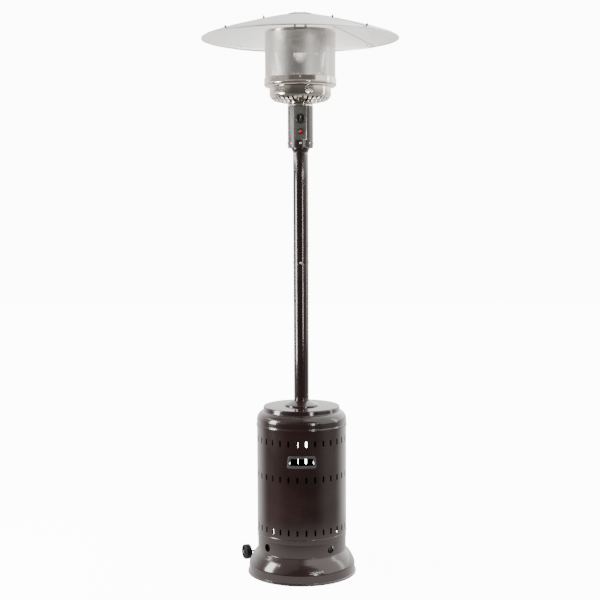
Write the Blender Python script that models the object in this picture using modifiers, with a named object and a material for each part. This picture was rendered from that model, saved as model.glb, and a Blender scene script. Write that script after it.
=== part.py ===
"""Propane patio heater with a domed reflector, built from separate pieces. Metres, +Z up, front towards -Y."""
import math

import bmesh
import bpy
from mathutils import Matrix, Vector

for leftover in list(bpy.data.objects):
    bpy.data.objects.remove(leftover, do_unlink=True)

mm = 0.001

# Overall sizes
pole_radius = 31.5 * mm
housing_radius = 188.0 * mm
base_overhang = 41.0 * mm
base_radius = housing_radius + base_overhang
reflector_radius = 406.5 * mm
burner_radius = 148.5 * mm
head_radius = 52.7 * mm
pole_joint_height = 1301.5 * mm
head_bottom = 1780.0 * mm

# Sheet, tube and gap sizes
sheet = 1.2 * mm
pole_wall = 1.5 * mm
gap = 0.3 * mm
slide_gap = 0.6 * mm

# Heights of the lower half
deck_height = 99.0 * mm
collar_height = 64.0 * mm
housing_bottom = 157.0 * mm
housing_height = 466.0 * mm
cap_height = 92.0 * mm
shell_overlap = 8.0 * mm

housing_top = housing_bottom + housing_height
cap_bottom = housing_top - shell_overlap
cap_top = cap_bottom + cap_height
ledge_drop = 0.25 * cap_height
plate_top = cap_top - ledge_drop - sheet - 2.0 * gap
plate_thickness = 3.0 * mm
plate_bottom = plate_top - plate_thickness

# Heights of the head
head_height = 170.5 * mm
neck_height = 10.7 * mm
cone_height = 30.0 * mm
lower_ring_height = 35.0 * mm
upper_ring_height = 40.0 * mm
screen_height = 192.0 * mm
screen_overlap = 6.0 * mm
stud_height = 72.0 * mm

pole_top = head_bottom - 15.5 * mm
head_top = head_bottom + head_height
neck_top = head_top + gap + neck_height
bowl_bottom = neck_top + gap
cone_top = bowl_bottom + cone_height
lower_ring_top = cone_top + lower_ring_height
upper_ring_top = lower_ring_top + upper_ring_height
screen_bottom = upper_ring_top - screen_overlap
screen_top = screen_bottom + screen_height
crown_height = screen_top + stud_height

# Turned pieces are cut into this many flats
coarse = 16
medium = 24
fine = 32
shell_flats = 32

# Housing slots
slots_around = 32
slot_width = 8.0 * mm
slot_length = 26.0 * mm
slot_rows = [0.898, 0.580, 0.109]

# Handle openings
handle_height = housing_bottom + 0.741 * housing_height
handle_wide = 101.0 * mm
handle_narrow = 91.0 * mm
handle_tall = 30.0 * mm
handle_border = 10.5 * mm
trim_stand_out = 2.2 * mm

# Wheels
wheel_turn = math.radians(25.0)
wheel_radius = 32.5 * mm
wheel_width = 28.0 * mm
wheel_bottom = 4.0 * mm
axle_radius = 4.0 * mm
axle_offset = base_radius + 7.5 * mm
wheel_offset = 155.0 * mm
wheel_axis_height = wheel_bottom + wheel_radius

# Controls
panel_depth = 0.868 * head_radius
panel_width = 50.6 * mm
panel_thickness = 1.4 * mm
panel_bottom = head_bottom + 31.0 * mm
panel_top = head_top - 1.0 * mm
knob_height = head_bottom + 0.692 * head_height
knob_radius = 20.0 * mm
knob_travel = 4.0 * mm
button_height = head_bottom + 0.396 * head_height
button_radius = 6.5 * mm
button_travel = 6.0 * mm
stem_radius = 4.0 * mm

# Reflector
panels_around = 4
panel_flats = 16
panel_lap = 2.0 * math.pi / panels_around / (panel_flats - 1)
seam_turn = math.radians(-48.4)
reflector_sheet = 1.0 * mm
lap_step = reflector_sheet + 0.4 * mm

build = bpy.data.collections.new("patio_heater")
bpy.context.scene.collection.children.link(build)
cutters = bpy.data.collections.new("cutters")
bpy.context.scene.collection.children.link(cutters)


def paint(name, colour, metallic, roughness):
    """A plain Principled material."""
    material = bpy.data.materials.new(name)
    material.use_nodes = True
    shader = material.node_tree.nodes["Principled BSDF"]
    shader.inputs["Base Color"].default_value = (*colour, 1.0)
    shader.inputs["Metallic"].default_value = metallic
    shader.inputs["Roughness"].default_value = roughness
    material.diffuse_color = (*colour, 1.0)
    return material


looks = {
    "bronze": ((0.045, 0.024, 0.022), 0.2, 0.25),
    "steel": ((0.60, 0.56, 0.50), 1.0, 0.2),
    "aluminium": ((0.80, 0.79, 0.78), 1.0, 0.35),
    "zinc": ((0.55, 0.55, 0.56), 1.0, 0.35),
    "black": ((0.015, 0.015, 0.016), 0.0, 0.4),
    "grey": ((0.12, 0.12, 0.11), 0.0, 0.5),
    "red": ((0.75, 0.01, 0.03), 0.0, 0.3),
    "brass": ((0.60, 0.42, 0.15), 1.0, 0.3),
    "rubber": ((0.02, 0.02, 0.02), 0.0, 0.8),
}


def finish(thing, look):
    """Names, paints and files a finished piece, and shades it smooth by angle."""
    colour, metallic, roughness = looks[look]
    thing.data.materials.append(paint(thing.name + "_" + look, colour, metallic, roughness))
    build.objects.link(thing)
    for face in thing.data.polygons:
        face.use_smooth = True
    return thing


def mesh_object(name, points, edges, faces):
    mesh = bpy.data.meshes.new(name)
    mesh.from_pydata(points, edges, faces)
    mesh.update()
    return bpy.data.objects.new(name, mesh)


def screw(thing, flats, angle=2.0 * math.pi):
    turn = thing.modifiers.new("turn", "SCREW")
    turn.axis = "Z"
    turn.angle = angle
    turn.steps = flats
    turn.render_steps = flats
    turn.use_merge_vertices = True
    turn.merge_threshold = 0.00001
    turn.use_normal_calculate = False
    return turn


def turned(name, profile, flats, look=None):
    """A profile of (radius, height) turned about the upright axis. It runs down the outer side, then up the inner."""
    closed = profile[0][0] > 0.0 or profile[-1][0] > 0.0
    points = [(radius, 0.0, height) for radius, height in profile]
    count = len(points)
    edges = [(i, i + 1) for i in range(count - 1)]
    if closed:
        edges.append((count - 1, 0))
    thing = mesh_object(name, points, edges, [])
    screw(thing, flats)
    if look:
        finish(thing, look)
    return thing


def baked(thing):
    """The piece with its modifiers worked out, as a plain mesh."""
    bpy.context.view_layer.update()
    graph = bpy.context.evaluated_depsgraph_get()
    mesh = bpy.data.meshes.new_from_object(thing.evaluated_get(graph))
    shape = bmesh.new()
    shape.from_mesh(mesh)
    bmesh.ops.remove_doubles(shape, verts=shape.verts, dist=0.00001)
    bmesh.ops.recalc_face_normals(shape, faces=shape.faces)
    shape.to_mesh(mesh)
    shape.free()
    thing.modifiers.clear()
    thing.data = mesh
    return thing


def cutter(thing):
    """Files a shape as a cutter."""
    cutters.objects.link(thing)
    thing.hide_render = True
    thing.display_type = "WIRE"
    return thing


def cut(thing, tool, operation="DIFFERENCE"):
    boolean = thing.modifiers.new(operation.lower(), "BOOLEAN")
    boolean.operation = operation
    boolean.solver = "EXACT"
    boolean.object = tool
    return boolean


def prism(name, outline, start, end, axis="Z", look=None):
    """A flat outline pushed from start to end. Outlines run anticlockwise seen from the positive axis."""
    shape = bmesh.new()
    if axis == "Z":
        low = [shape.verts.new((x, y, start)) for x, y in outline]
        high = [shape.verts.new((x, y, end)) for x, y in outline]
    elif axis == "Y":
        low = [shape.verts.new((x, start, z)) for x, z in outline]
        high = [shape.verts.new((x, end, z)) for x, z in outline]
    else:
        low = [shape.verts.new((start, y, z)) for y, z in outline]
        high = [shape.verts.new((end, y, z)) for y, z in outline]
    count = len(outline)
    shape.faces.new(low)
    shape.faces.new(high)
    for i in range(count):
        shape.faces.new((low[i], low[(i + 1) % count], high[(i + 1) % count], high[i]))
    bmesh.ops.recalc_face_normals(shape, faces=shape.faces)
    mesh = bpy.data.meshes.new(name)
    shape.to_mesh(mesh)
    shape.free()
    thing = bpy.data.objects.new(name, mesh)
    if look:
        finish(thing, look)
    return thing


def block(name, centre, size, look=None):
    """A box of the given size about its centre."""
    x, y, z = centre
    w, d, h = (side / 2.0 for side in size)
    outline = [(x - w, y - d), (x + w, y - d), (x + w, y + d), (x - w, y + d)]
    return prism(name, outline, z - h, z + h, "Z", look)


def place(thing, matrix):
    """Moves the mesh itself, so that the piece stays at the origin."""
    thing.data.transform(matrix)
    return thing


def stand_on(thing, origin):
    """Puts the piece's origin at a point, its shape staying where it is."""
    thing.data.transform(Matrix.Translation(-Vector(origin)))
    thing.location = origin
    return thing


def facing(direction):
    """Turns +Z to the direction."""
    return Vector(direction).to_track_quat("Z", "Y").to_matrix().to_4x4()


def spoke(name, profile, flats, at, direction, look):
    """A turned piece whose axis runs from a point in a direction."""
    thing = baked(turned_loose(name, profile, flats))
    place(thing, Matrix.Translation(Vector(at)) @ facing(direction))
    return finish(thing, look)


def turned_loose(name, profile, flats):
    thing = turned(name, profile, flats)
    bpy.context.scene.collection.objects.link(thing)
    baked(thing)
    bpy.context.scene.collection.objects.unlink(thing)
    return thing


def around(angle, radius, height):
    """The point at an angle from the front, towards the right."""
    return Vector((radius * math.sin(angle), -radius * math.cos(angle), height))


def many(name, boxes):
    """Several separate boxes in one cutter. Each is (matrix, width, depth, height)."""
    shape = bmesh.new()
    for matrix, width, depth, height in boxes:
        bmesh.ops.create_cube(shape, size=1.0, matrix=matrix @ Matrix.Diagonal((width, depth, height, 1.0)))
    mesh = bpy.data.meshes.new(name)
    shape.to_mesh(mesh)
    shape.free()
    return bpy.data.objects.new(name, mesh)


def tubes(name, items, flats):
    """Several separate round bars in one cutter. Each is (matrix, radius, length)."""
    shape = bmesh.new()
    for matrix, radius, length in items:
        bmesh.ops.create_cone(
            shape,
            cap_ends=True,
            segments=flats,
            radius1=radius,
            radius2=radius,
            depth=length,
            matrix=matrix,
        )
    mesh = bpy.data.meshes.new(name)
    shape.to_mesh(mesh)
    shape.free()
    return bpy.data.objects.new(name, mesh)


def wrapped(profile, thickness):
    """The outer profile, then the same line set in by the thickness, back up to the top."""
    inner = []
    count = len(profile)
    for i in range(count):
        before = Vector(profile[max(i - 1, 0)])
        after = Vector(profile[min(i + 1, count - 1)])
        here = Vector(profile[i])
        if 0 < i < count - 1:
            first = (here - before).normalized()
            second = (after - here).normalized()
            n1 = Vector((first.y, -first.x))
            n2 = Vector((second.y, -second.x))
            middle = (n1 + n2).normalized()
            inner.append(here + middle * (thickness / max(0.35, middle.dot(n1))))
        else:
            along = (after - before).normalized()
            inner.append(here + Vector((along.y, -along.x)) * thickness)
    return [tuple(p) for p in profile] + [tuple(p) for p in reversed(inner)]


# ---------------------------------------------------------------- base

deck_radius = housing_radius - 1.5 * mm
band_radius = base_radius - 5.5 * mm
drain_radius = 20.0 * mm
base_line = [
    (drain_radius, deck_height),
    (deck_radius - 3.0 * mm, deck_height),
    (deck_radius + 0.13 * (band_radius - deck_radius), deck_height - 3.0 * mm),
    (deck_radius + 0.42 * (band_radius - deck_radius), deck_height * 0.845),
    (deck_radius + 0.78 * (band_radius - deck_radius), deck_height * 0.64),
    (band_radius - 1.0 * mm, deck_height * 0.44),
    (band_radius + 0.5 * mm, 12.0 * mm),
    (base_radius, 6.0 * mm),
    (base_radius, 0.0),
]
base_inner = [
    (band_radius, 0.0),
    (band_radius, 3.0 * mm),
    (band_radius - 1.2 * mm, 10.0 * mm),
    (band_radius - 3.0 * mm, deck_height * 0.44),
    (deck_radius + 0.71 * (band_radius - deck_radius), deck_height * 0.63),
    (deck_radius + 0.36 * (band_radius - deck_radius), deck_height * 0.82),
    (deck_radius - 3.5 * mm, deck_height - 2.0 * mm),
    (drain_radius, deck_height - 2.0 * mm),
]
base_shell = turned("base_shell", base_line + base_inner, fine, "bronze")

tank_outer = deck_radius - 8.0 * mm
tank_bottom = 5.0 * mm
tank_top = deck_height - 4.0 * mm
tank_wall = 3.0 * mm
filler_offset = 0.7 * tank_outer
filler_radius = 16.0 * mm
tank_profile = [
    (0.0, tank_top),
    (tank_outer - 8.0 * mm, tank_top),
    (tank_outer, tank_top - 8.0 * mm),
    (tank_outer, tank_bottom + 6.0 * mm),
    (tank_outer - 6.0 * mm, tank_bottom),
    (0.0, tank_bottom),
]
tank_hollow = [
    (0.0, tank_top - tank_wall),
    (tank_outer - tank_wall - 7.0 * mm, tank_top - tank_wall),
    (tank_outer - tank_wall, tank_top - tank_wall - 7.0 * mm),
    (tank_outer - tank_wall, tank_bottom + tank_wall + 5.0 * mm),
    (tank_outer - tank_wall - 5.0 * mm, tank_bottom + tank_wall),
    (0.0, tank_bottom + tank_wall),
]
ballast_tank = turned("ballast_tank", tank_profile, medium, "black")
cut(ballast_tank, cutter(turned_loose("tank_hollow", tank_hollow, medium)))
filler_centre = around(math.radians(150.0), filler_offset, tank_top)
cut(
    ballast_tank,
    cutter(tubes("filler_hole", [(Matrix.Translation(filler_centre), filler_radius, 10.0 * mm)], coarse)),
)
plug = [
    (0.0, tank_top + 1.6 * mm),
    (filler_radius + 4.0 * mm, tank_top + 1.6 * mm),
    (filler_radius + 4.0 * mm, tank_top + gap),
    (filler_radius - slide_gap, tank_top + gap),
    (filler_radius - slide_gap, tank_top - 9.0 * mm),
    (0.0, tank_top - 9.0 * mm),
]
tank_cap = turned_loose("tank_cap", plug, coarse)
place(tank_cap, Matrix.Translation((filler_centre.x, filler_centre.y, 0.0)))
finish(tank_cap, "black")

# Lower collar, standing on the deck inside the housing's lower edge
collar_outer = housing_radius - sheet - slide_gap
collar_bottom = deck_height + gap
collar_top = collar_bottom + collar_height
collar_profile = wrapped(
    [
        (collar_outer - 4.0 * mm, collar_top),
        (collar_outer, collar_top - 4.0 * mm),
        (collar_outer, collar_bottom),
    ],
    sheet,
)
lower_collar = turned("lower_collar", collar_profile, shell_flats, "bronze")
collar_hole_turn = math.radians(39.5)
collar_hole_radius = 16.5 * mm
collar_hole_height = collar_bottom + 0.475 * collar_height
holes = []
for i in range(4):
    angle = collar_hole_turn + i * math.pi / 2.0
    middle = around(angle, collar_outer, collar_hole_height)
    holes.append((Matrix.Translation(middle) @ facing(around(angle, 1.0, 0.0)), collar_hole_radius, 20.0 * mm))
cut(lower_collar, cutter(tubes("collar_holes", holes, 20)))

# Three strip legs carry the plate that the pole stands on
leg_width = 24.0 * mm
leg_thickness = 3.0 * mm
leg_radius = 0.885 * housing_radius
leg_foot = 28.0 * mm
leg_bottom = deck_height + gap
leg_top = plate_bottom - gap
for i, degrees in enumerate((-50.0, 70.0, 190.0)):
    outline = [
        (leg_radius - leg_foot, leg_bottom),
        (leg_radius, leg_bottom),
        (leg_radius, leg_top),
        (leg_radius - leg_foot, leg_top),
        (leg_radius - leg_foot, leg_top - leg_thickness),
        (leg_radius - leg_thickness, leg_top - leg_thickness),
        (leg_radius - leg_thickness, leg_bottom + leg_thickness),
        (leg_radius - leg_foot, leg_bottom + leg_thickness),
    ]
    leg = prism(f"support_leg_{i + 1}", outline, -leg_width / 2.0, leg_width / 2.0, "Y")
    place(leg, Matrix.Rotation(math.radians(degrees) - math.pi / 2.0, 4, "Z"))
    finish(leg, "bronze")

plate_radius = leg_radius + 2.0 * mm
socket_outer = pole_radius - pole_wall - gap
socket_wall = 2.0 * mm
top_plate_profile = [
    (socket_outer + gap, plate_top),
    (plate_radius, plate_top),
    (plate_radius, plate_bottom),
    (socket_outer + gap, plate_bottom),
]
turned("top_plate", top_plate_profile, medium, "bronze")
socket_flange = 55.0 * mm
socket_profile = [
    (socket_outer - socket_wall, plate_top + 70.0 * mm),
    (socket_outer, plate_top + 70.0 * mm),
    (socket_outer, plate_bottom - gap),
    (socket_flange, plate_bottom - gap),
    (socket_flange, plate_bottom - gap - 3.0 * mm),
    (socket_outer - socket_wall, plate_bottom - gap - 3.0 * mm),
]
turned("pole_socket", socket_profile, medium, "zinc")

# ---------------------------------------------------------------- wheels

axle_way = Vector((-math.cos(wheel_turn), -math.sin(wheel_turn), 0.0))
outward = Vector((-math.sin(wheel_turn), math.cos(wheel_turn), 0.0))
axle_middle = outward * axle_offset
axle_middle.z = wheel_axis_height
wheel_frame = Matrix(
    (
        (axle_way.x, outward.x, 0.0, 0.0),
        (axle_way.y, outward.y, 0.0, 0.0),
        (0.0, 0.0, 1.0, 0.0),
        (0.0, 0.0, 0.0, 1.0),
    )
)

bracket_half = 60.0 * mm
bracket_sheet = 3.0 * mm
web_inner = band_radius + 1.0 * mm
web_outer = web_inner + bracket_sheet
arm_outer = axle_offset + 9.0 * mm
bracket_plan = [
    (-bracket_half, web_inner),
    (bracket_half, web_inner),
    (bracket_half, arm_outer),
    (bracket_half - bracket_sheet, arm_outer),
    (bracket_half - bracket_sheet, web_outer),
    (-bracket_half + bracket_sheet, web_outer),
    (-bracket_half + bracket_sheet, arm_outer),
    (-bracket_half, arm_outer),
]
wheel_bracket = prism("wheel_bracket", bracket_plan, wheel_axis_height - 18.0 * mm, wheel_axis_height + 16.0 * mm)
place(wheel_bracket, wheel_frame)
finish(wheel_bracket, "black")
axle_hole = (
    Matrix.Translation(axle_middle) @ facing(axle_way),
    axle_radius + gap,
    3.0 * bracket_half,
)
cut(wheel_bracket, cutter(tubes("axle_hole", [axle_hole], 12)))

axle_half = wheel_offset + wheel_width / 2.0 + 6.0 * mm
axle = [
    (0.0, axle_half),
    (axle_radius, axle_half),
    (axle_radius, -axle_half),
    (0.0, -axle_half),
]
spoke("wheel_axle", axle, 12, axle_middle, axle_way, "zinc")

tyre_half = wheel_width / 2.0
hub_half = 6.0 * mm
hub_radius = 11.0 * mm
web_radius = wheel_radius - 8.0 * mm
bore = axle_radius + gap
wheel_profile = [
    (bore, tyre_half - 3.0 * mm),
    (hub_radius, tyre_half - 3.0 * mm),
    (hub_radius, hub_half),
    (web_radius, hub_half),
    (web_radius, tyre_half),
    (wheel_radius - 3.0 * mm, tyre_half),
    (wheel_radius, tyre_half - 4.0 * mm),
    (wheel_radius, -tyre_half + 4.0 * mm),
    (wheel_radius - 3.0 * mm, -tyre_half),
    (web_radius, -tyre_half),
    (web_radius, -hub_half),
    (hub_radius, -hub_half),
    (hub_radius, -tyre_half + 3.0 * mm),
    (bore, -tyre_half + 3.0 * mm),
]
nut_bore = (axle_radius + 0.1 * mm) / math.cos(math.pi / 6.0)
nut_profile = [
    (nut_bore, 6.0 * mm),
    (5.5 * mm, 6.0 * mm),
    (6.5 * mm, 5.0 * mm),
    (6.5 * mm, 0.0),
    (nut_bore, 0.0),
]
for side, name in ((1.0, "left"), (-1.0, "right")):
    centre = axle_middle + axle_way * side * wheel_offset
    wheel = spoke(f"wheel_{name}_tyre", wheel_profile, coarse, centre, axle_way, "rubber")
    stand_on(wheel, centre)
    nut_at = centre + axle_way * side * (tyre_half - 2.5 * mm)
    spoke(f"axle_nut_{name}", nut_profile, 6, nut_at, axle_way * side, "zinc")

# ---------------------------------------------------------------- gas bottle housing, which lifts

shell_inner = housing_radius - sheet
shell_profile = [
    (housing_radius, housing_top),
    (housing_radius, housing_bottom),
    (shell_inner, housing_bottom),
    (shell_inner, housing_top),
]
housing_shell = turned("housing_shell", shell_profile, shell_flats, "bronze")
slots = []
for row in slot_rows:
    for i in range(slots_around):
        angle = (i + 0.5) * 2.0 * math.pi / slots_around
        middle = around(angle, housing_radius, housing_bottom + row * housing_height)
        slots.append((Matrix.Translation(middle) @ Matrix.Rotation(angle, 4, "Z"), slot_width, 8.0 * mm, slot_length))
cut(housing_shell, cutter(many("shell_slots", slots)))


def trapezoid(grow):
    half = handle_tall / 2.0 + grow
    wide = handle_wide / 2.0 + grow
    narrow = handle_narrow / 2.0 + grow
    round_off = 4.0 * mm
    points = []
    corners = [
        (-wide, -half),
        (wide, -half),
        (narrow, half),
        (-narrow, half),
    ]
    for i, corner in enumerate(corners):
        here = Vector(corner)
        before = (Vector(corners[i - 1]) - here).normalized()
        after = (Vector(corners[(i + 1) % 4]) - here).normalized()
        size = round_off + max(0.0, grow) * 0.6
        points.append(here + before * size)
        points.append(here + (before + after) * size * 0.3)
        points.append(here + after * size)
    return [(p.x, handle_height + p.y) for p in points]


through = 2.0 * housing_radius
handle_cut_grow = 5.0 * mm
handle_cut = prism("handle_cut", trapezoid(handle_cut_grow), -through, through, "Y")
cut(housing_shell, cutter(handle_cut))

flange_inner = housing_radius + gap
flange_outer = flange_inner + trim_stand_out
sleeve_inner = housing_radius - 6.0 * mm
for side, name in ((-1.0, "front"), (1.0, "rear")):
    near = side * 0.5 * housing_radius
    far = side * 2.0 * housing_radius
    start, end = min(near, far), max(near, far)
    trim = prism(f"handle_trim_{name}", trapezoid(handle_border), start, end, "Y", "grey")
    ring = [
        (flange_outer, handle_height + 2.0 * handle_tall),
        (flange_outer, handle_height - 2.0 * handle_tall),
        (sleeve_inner, handle_height - 2.0 * handle_tall),
        (sleeve_inner, handle_height + 2.0 * handle_tall),
    ]
    cut(trim, cutter(turned_loose(f"trim_ring_{name}", ring, shell_flats)), "INTERSECT")
    back = [
        (flange_inner, handle_height + 3.0 * handle_tall),
        (flange_inner, handle_height - 3.0 * handle_tall),
        (0.5 * housing_radius, handle_height - 3.0 * handle_tall),
        (0.5 * housing_radius, handle_height + 3.0 * handle_tall),
    ]
    behind = turned_loose(f"trim_behind_{name}", back, shell_flats)
    sleeve = prism(f"trim_sleeve_{name}", trapezoid(handle_cut_grow - gap), -through, through, "Y")
    cutters.objects.link(sleeve)
    cutters.objects.link(behind)
    cut(behind, sleeve)
    cutters.objects.unlink(behind)
    bpy.context.scene.collection.objects.link(behind)
    baked(behind)
    bpy.context.scene.collection.objects.unlink(behind)
    cutters.objects.unlink(sleeve)
    cut(trim, cutter(behind))
    opening = prism(f"trim_opening_{name}", trapezoid(0.0), -through, through, "Y")
    cut(trim, cutter(opening))

# The cap: a stepped lid whose skirt fits inside the top edge of the shell
skirt_radius = housing_radius - sheet - gap
cap_line = [
    (pole_radius + 3.0 * mm, cap_top),
    (0.838 * housing_radius, cap_top),
    (0.850 * housing_radius, cap_top - 3.0 * mm),
    (0.858 * housing_radius, cap_top - 0.225 * cap_height),
    (0.898 * housing_radius, cap_top - ledge_drop),
    (0.963 * housing_radius, cap_top - 0.36 * cap_height),
    (housing_radius + 0.3 * mm, cap_top - 0.52 * cap_height),
    (housing_radius + 0.3 * mm, cap_top - 0.78 * cap_height),
    (housing_radius + 2.0 * mm, cap_top - 0.82 * cap_height),
    (housing_radius + 2.0 * mm, housing_top + gap),
    (skirt_radius, housing_top + gap),
    (skirt_radius, cap_bottom - 6.0 * mm),
]
turned("housing_cap", wrapped(cap_line, sheet), shell_flats, "bronze")

escutcheon_radius = 71.5 * mm
escutcheon_height = 20.5 * mm
escutcheon_line = [
    (pole_radius + 1.0 * mm, cap_top + gap + escutcheon_height),
    (pole_radius + 4.0 * mm, cap_top + gap + escutcheon_height),
    (escutcheon_radius - 1.5 * mm, cap_top + gap + 5.5 * mm),
    (escutcheon_radius, cap_top + gap + 4.0 * mm),
    (escutcheon_radius, cap_top + gap),
]
turned("pole_escutcheon", wrapped(escutcheon_line, sheet), medium, "bronze")

# ---------------------------------------------------------------- pole

pole_inner = pole_radius - pole_wall
lower_pole_profile = [
    (pole_radius, pole_joint_height - gap),
    (pole_radius, plate_top + gap),
    (pole_inner, plate_top + gap),
    (pole_inner, pole_joint_height - gap),
]
upper_pole_profile = [
    (pole_radius, pole_top),
    (pole_radius, pole_joint_height),
    (pole_inner, pole_joint_height),
    (pole_inner, pole_top),
]
lower_pole = turned("lower_pole", lower_pole_profile, medium, "bronze")
upper_pole = turned("upper_pole", upper_pole_profile, medium, "bronze")
coupler_outer = pole_inner - gap
coupler_inner = coupler_outer - pole_wall
coupler_profile = [
    (coupler_outer, pole_joint_height + 75.0 * mm),
    (coupler_outer, pole_joint_height - 75.0 * mm),
    (coupler_inner, pole_joint_height - 75.0 * mm),
    (coupler_inner, pole_joint_height + 75.0 * mm),
]
pole_coupler = turned("pole_coupler", coupler_profile, medium, "zinc")
screw_height = pole_joint_height + 5.5 * mm
shank_radius = 2.0 * mm
joint_holes = []
for i in range(4):
    angle = i * math.pi / 2.0
    middle = around(angle, pole_radius, screw_height)
    joint_holes.append((Matrix.Translation(middle) @ facing(around(angle, 1.0, 0.0)), shank_radius + gap, 12.0 * mm))
joint_cutter = cutter(tubes("joint_holes", joint_holes, 8))
cut(upper_pole, joint_cutter)
cut(pole_coupler, joint_cutter)
screw_profile = [
    (0.0, 2.6 * mm),
    (2.6 * mm, 2.1 * mm),
    (4.4 * mm, 0.6 * mm),
    (4.6 * mm, 0.0),
    (shank_radius, 0.0),
    (shank_radius, -5.0 * mm),
    (0.0, -5.0 * mm),
]
for i, name in enumerate(("front", "right", "back", "left")):
    angle = i * math.pi / 2.0
    at = around(angle, pole_radius + gap, screw_height)
    spoke(f"joint_screw_{name}", screw_profile, 8, at, around(angle, 1.0, 0.0), "steel")

# ---------------------------------------------------------------- control head

adapter_outer = pole_inner - gap
adapter_profile = [
    (adapter_outer - 2.0 * mm, head_bottom - gap),
    (38.0 / 52.7 * head_radius, head_bottom - gap),
    (38.0 / 52.7 * head_radius, head_bottom - 3.0 * mm),
    (pole_radius + 0.8 * mm, pole_top + gap),
    (adapter_outer, pole_top + gap),
    (adapter_outer, pole_top - 45.0 * mm),
    (adapter_outer - 2.0 * mm, pole_top - 45.0 * mm),
]
turned("head_adapter", adapter_profile, medium, "bronze")

head_profile = [
    (head_radius, head_top),
    (head_radius, head_bottom + 2.0 * mm),
    (head_radius - 2.0 * mm, head_bottom),
    (coupler_inner, head_bottom),
    (coupler_inner, head_bottom + sheet),
    (head_radius - sheet, head_bottom + sheet + 1.5 * mm),
    (head_radius - sheet, head_top),
]
control_housing = turned("control_housing", head_profile, fine, "bronze")
window_low = panel_bottom - gap
window_high = head_top + 5.0 * mm
window = block(
    "panel_window",
    (0.0, -panel_depth - 20.0 * mm, (window_low + window_high) / 2.0),
    (4.0 * head_radius, 40.0 * mm, window_high - window_low),
)
cut(control_housing, cutter(window))
panel_middle = (panel_bottom + panel_top) / 2.0
panel_face = -panel_depth - gap - panel_thickness
panel = block(
    "control_panel",
    (0.0, -panel_depth - gap - panel_thickness / 2.0, panel_middle),
    (panel_width, panel_thickness, panel_top - panel_bottom),
    "grey",
)
stem_hole = Matrix.Translation((0.0, -panel_depth, knob_height)) @ facing((0.0, -1.0, 0.0))
button_hole = Matrix.Translation((0.0, -panel_depth, button_height)) @ facing((0.0, -1.0, 0.0))
bezel_neck = 9.0 * mm
panel_holes = [
    (stem_hole, stem_radius + slide_gap, 20.0 * mm),
    (button_hole, bezel_neck + gap, 20.0 * mm),
]
cut(panel, cutter(tubes("panel_holes", panel_holes, 20)))

valve_front = -panel_depth + 2.0 * mm
valve_depth = 34.0 * mm
gas_valve = block(
    "gas_valve",
    (0.0, valve_front + valve_depth / 2.0, knob_height),
    (34.0 * mm, valve_depth, 44.0 * mm),
    "brass",
)
stem_reach = 20.0 * mm
valve_bore = (
    Matrix.Translation((0.0, valve_front, knob_height)) @ facing((0.0, -1.0, 0.0)),
    stem_radius + slide_gap,
    2.0 * stem_reach + 2.0 * knob_travel,
)
cut(gas_valve, cutter(tubes("valve_bore", [valve_bore], 12)))

knob_back = panel_face - knob_travel - 1.0 * mm
stem_profile = [
    (0.0, 12.0 * mm),
    (stem_radius, 12.0 * mm),
    (stem_radius, knob_back - valve_front - stem_reach + knob_travel - 1.0 * mm),
    (0.0, knob_back - valve_front - stem_reach + knob_travel - 1.0 * mm),
]
stem = spoke("valve_stem", stem_profile, 12, (0.0, knob_back, knob_height), (0.0, -1.0, 0.0), "steel")
stand_on(stem, (0.0, knob_back, knob_height))
knob_profile = [
    (0.0, 18.0 * mm),
    (knob_radius - 5.0 * mm, 18.0 * mm),
    (knob_radius - 3.5 * mm, 16.0 * mm),
    (knob_radius - 2.5 * mm, 5.0 * mm),
    (knob_radius, 3.5 * mm),
    (knob_radius, 0.0),
    (stem_radius + gap, 0.0),
    (stem_radius + gap, 12.6 * mm),
    (0.0, 12.6 * mm),
]
knob = spoke("control_knob", knob_profile, coarse, (0.0, knob_back, knob_height), (0.0, -1.0, 0.0), "black")
grip = block(
    "knob_grip",
    (0.0, knob_back - 20.0 * mm, knob_height),
    (8.0 * mm, 8.0 * mm, 2.0 * (knob_radius - 5.0 * mm)),
)
cut(knob, cutter(grip), "UNION")

bezel_front = panel_face - 6.0 * mm
bezel_profile = [
    (button_radius + slide_gap, -bezel_front + panel_face),
    (button_radius + 3.0 * mm, -bezel_front + panel_face),
    (12.0 * mm, 2.0 * mm),
    (12.0 * mm, gap),
    (bezel_neck, gap),
    (bezel_neck, -8.0 * mm),
    (button_radius + slide_gap, -8.0 * mm),
]
spoke("igniter_bezel", bezel_profile, coarse, (0.0, panel_face, button_height), (0.0, -1.0, 0.0), "black")
piezo_profile = [
    (button_radius + slide_gap, -8.3 * mm),
    (9.5 * mm, -8.3 * mm),
    (9.5 * mm, -42.0 * mm),
    (0.0, -42.0 * mm),
    (0.0, -32.0 * mm),
    (button_radius + slide_gap, -32.0 * mm),
]
spoke("piezo_igniter", piezo_profile, coarse, (0.0, panel_face, button_height), (0.0, -1.0, 0.0), "black")
button_profile = [
    (0.0, 14.0 * mm),
    (button_radius - 1.2 * mm, 14.0 * mm),
    (button_radius, 12.8 * mm),
    (button_radius, -22.0 * mm),
    (0.0, -22.0 * mm),
]
button = spoke(
    "igniter_button",
    button_profile,
    16,
    (0.0, panel_face, button_height),
    (0.0, -1.0, 0.0),
    "red",
)
stand_on(button, (0.0, panel_face, button_height))

# ---------------------------------------------------------------- burner bowl

neck_radius = head_radius - 1.2 * mm
neck_line = [
    (neck_radius - 9.0 * mm, neck_top),
    (neck_radius - 2.0 * mm, neck_top),
    (neck_radius, neck_top - 3.0 * mm),
    (neck_radius, head_top + gap),
]
turned("bowl_neck", wrapped(neck_line, sheet), fine, "steel")

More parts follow.
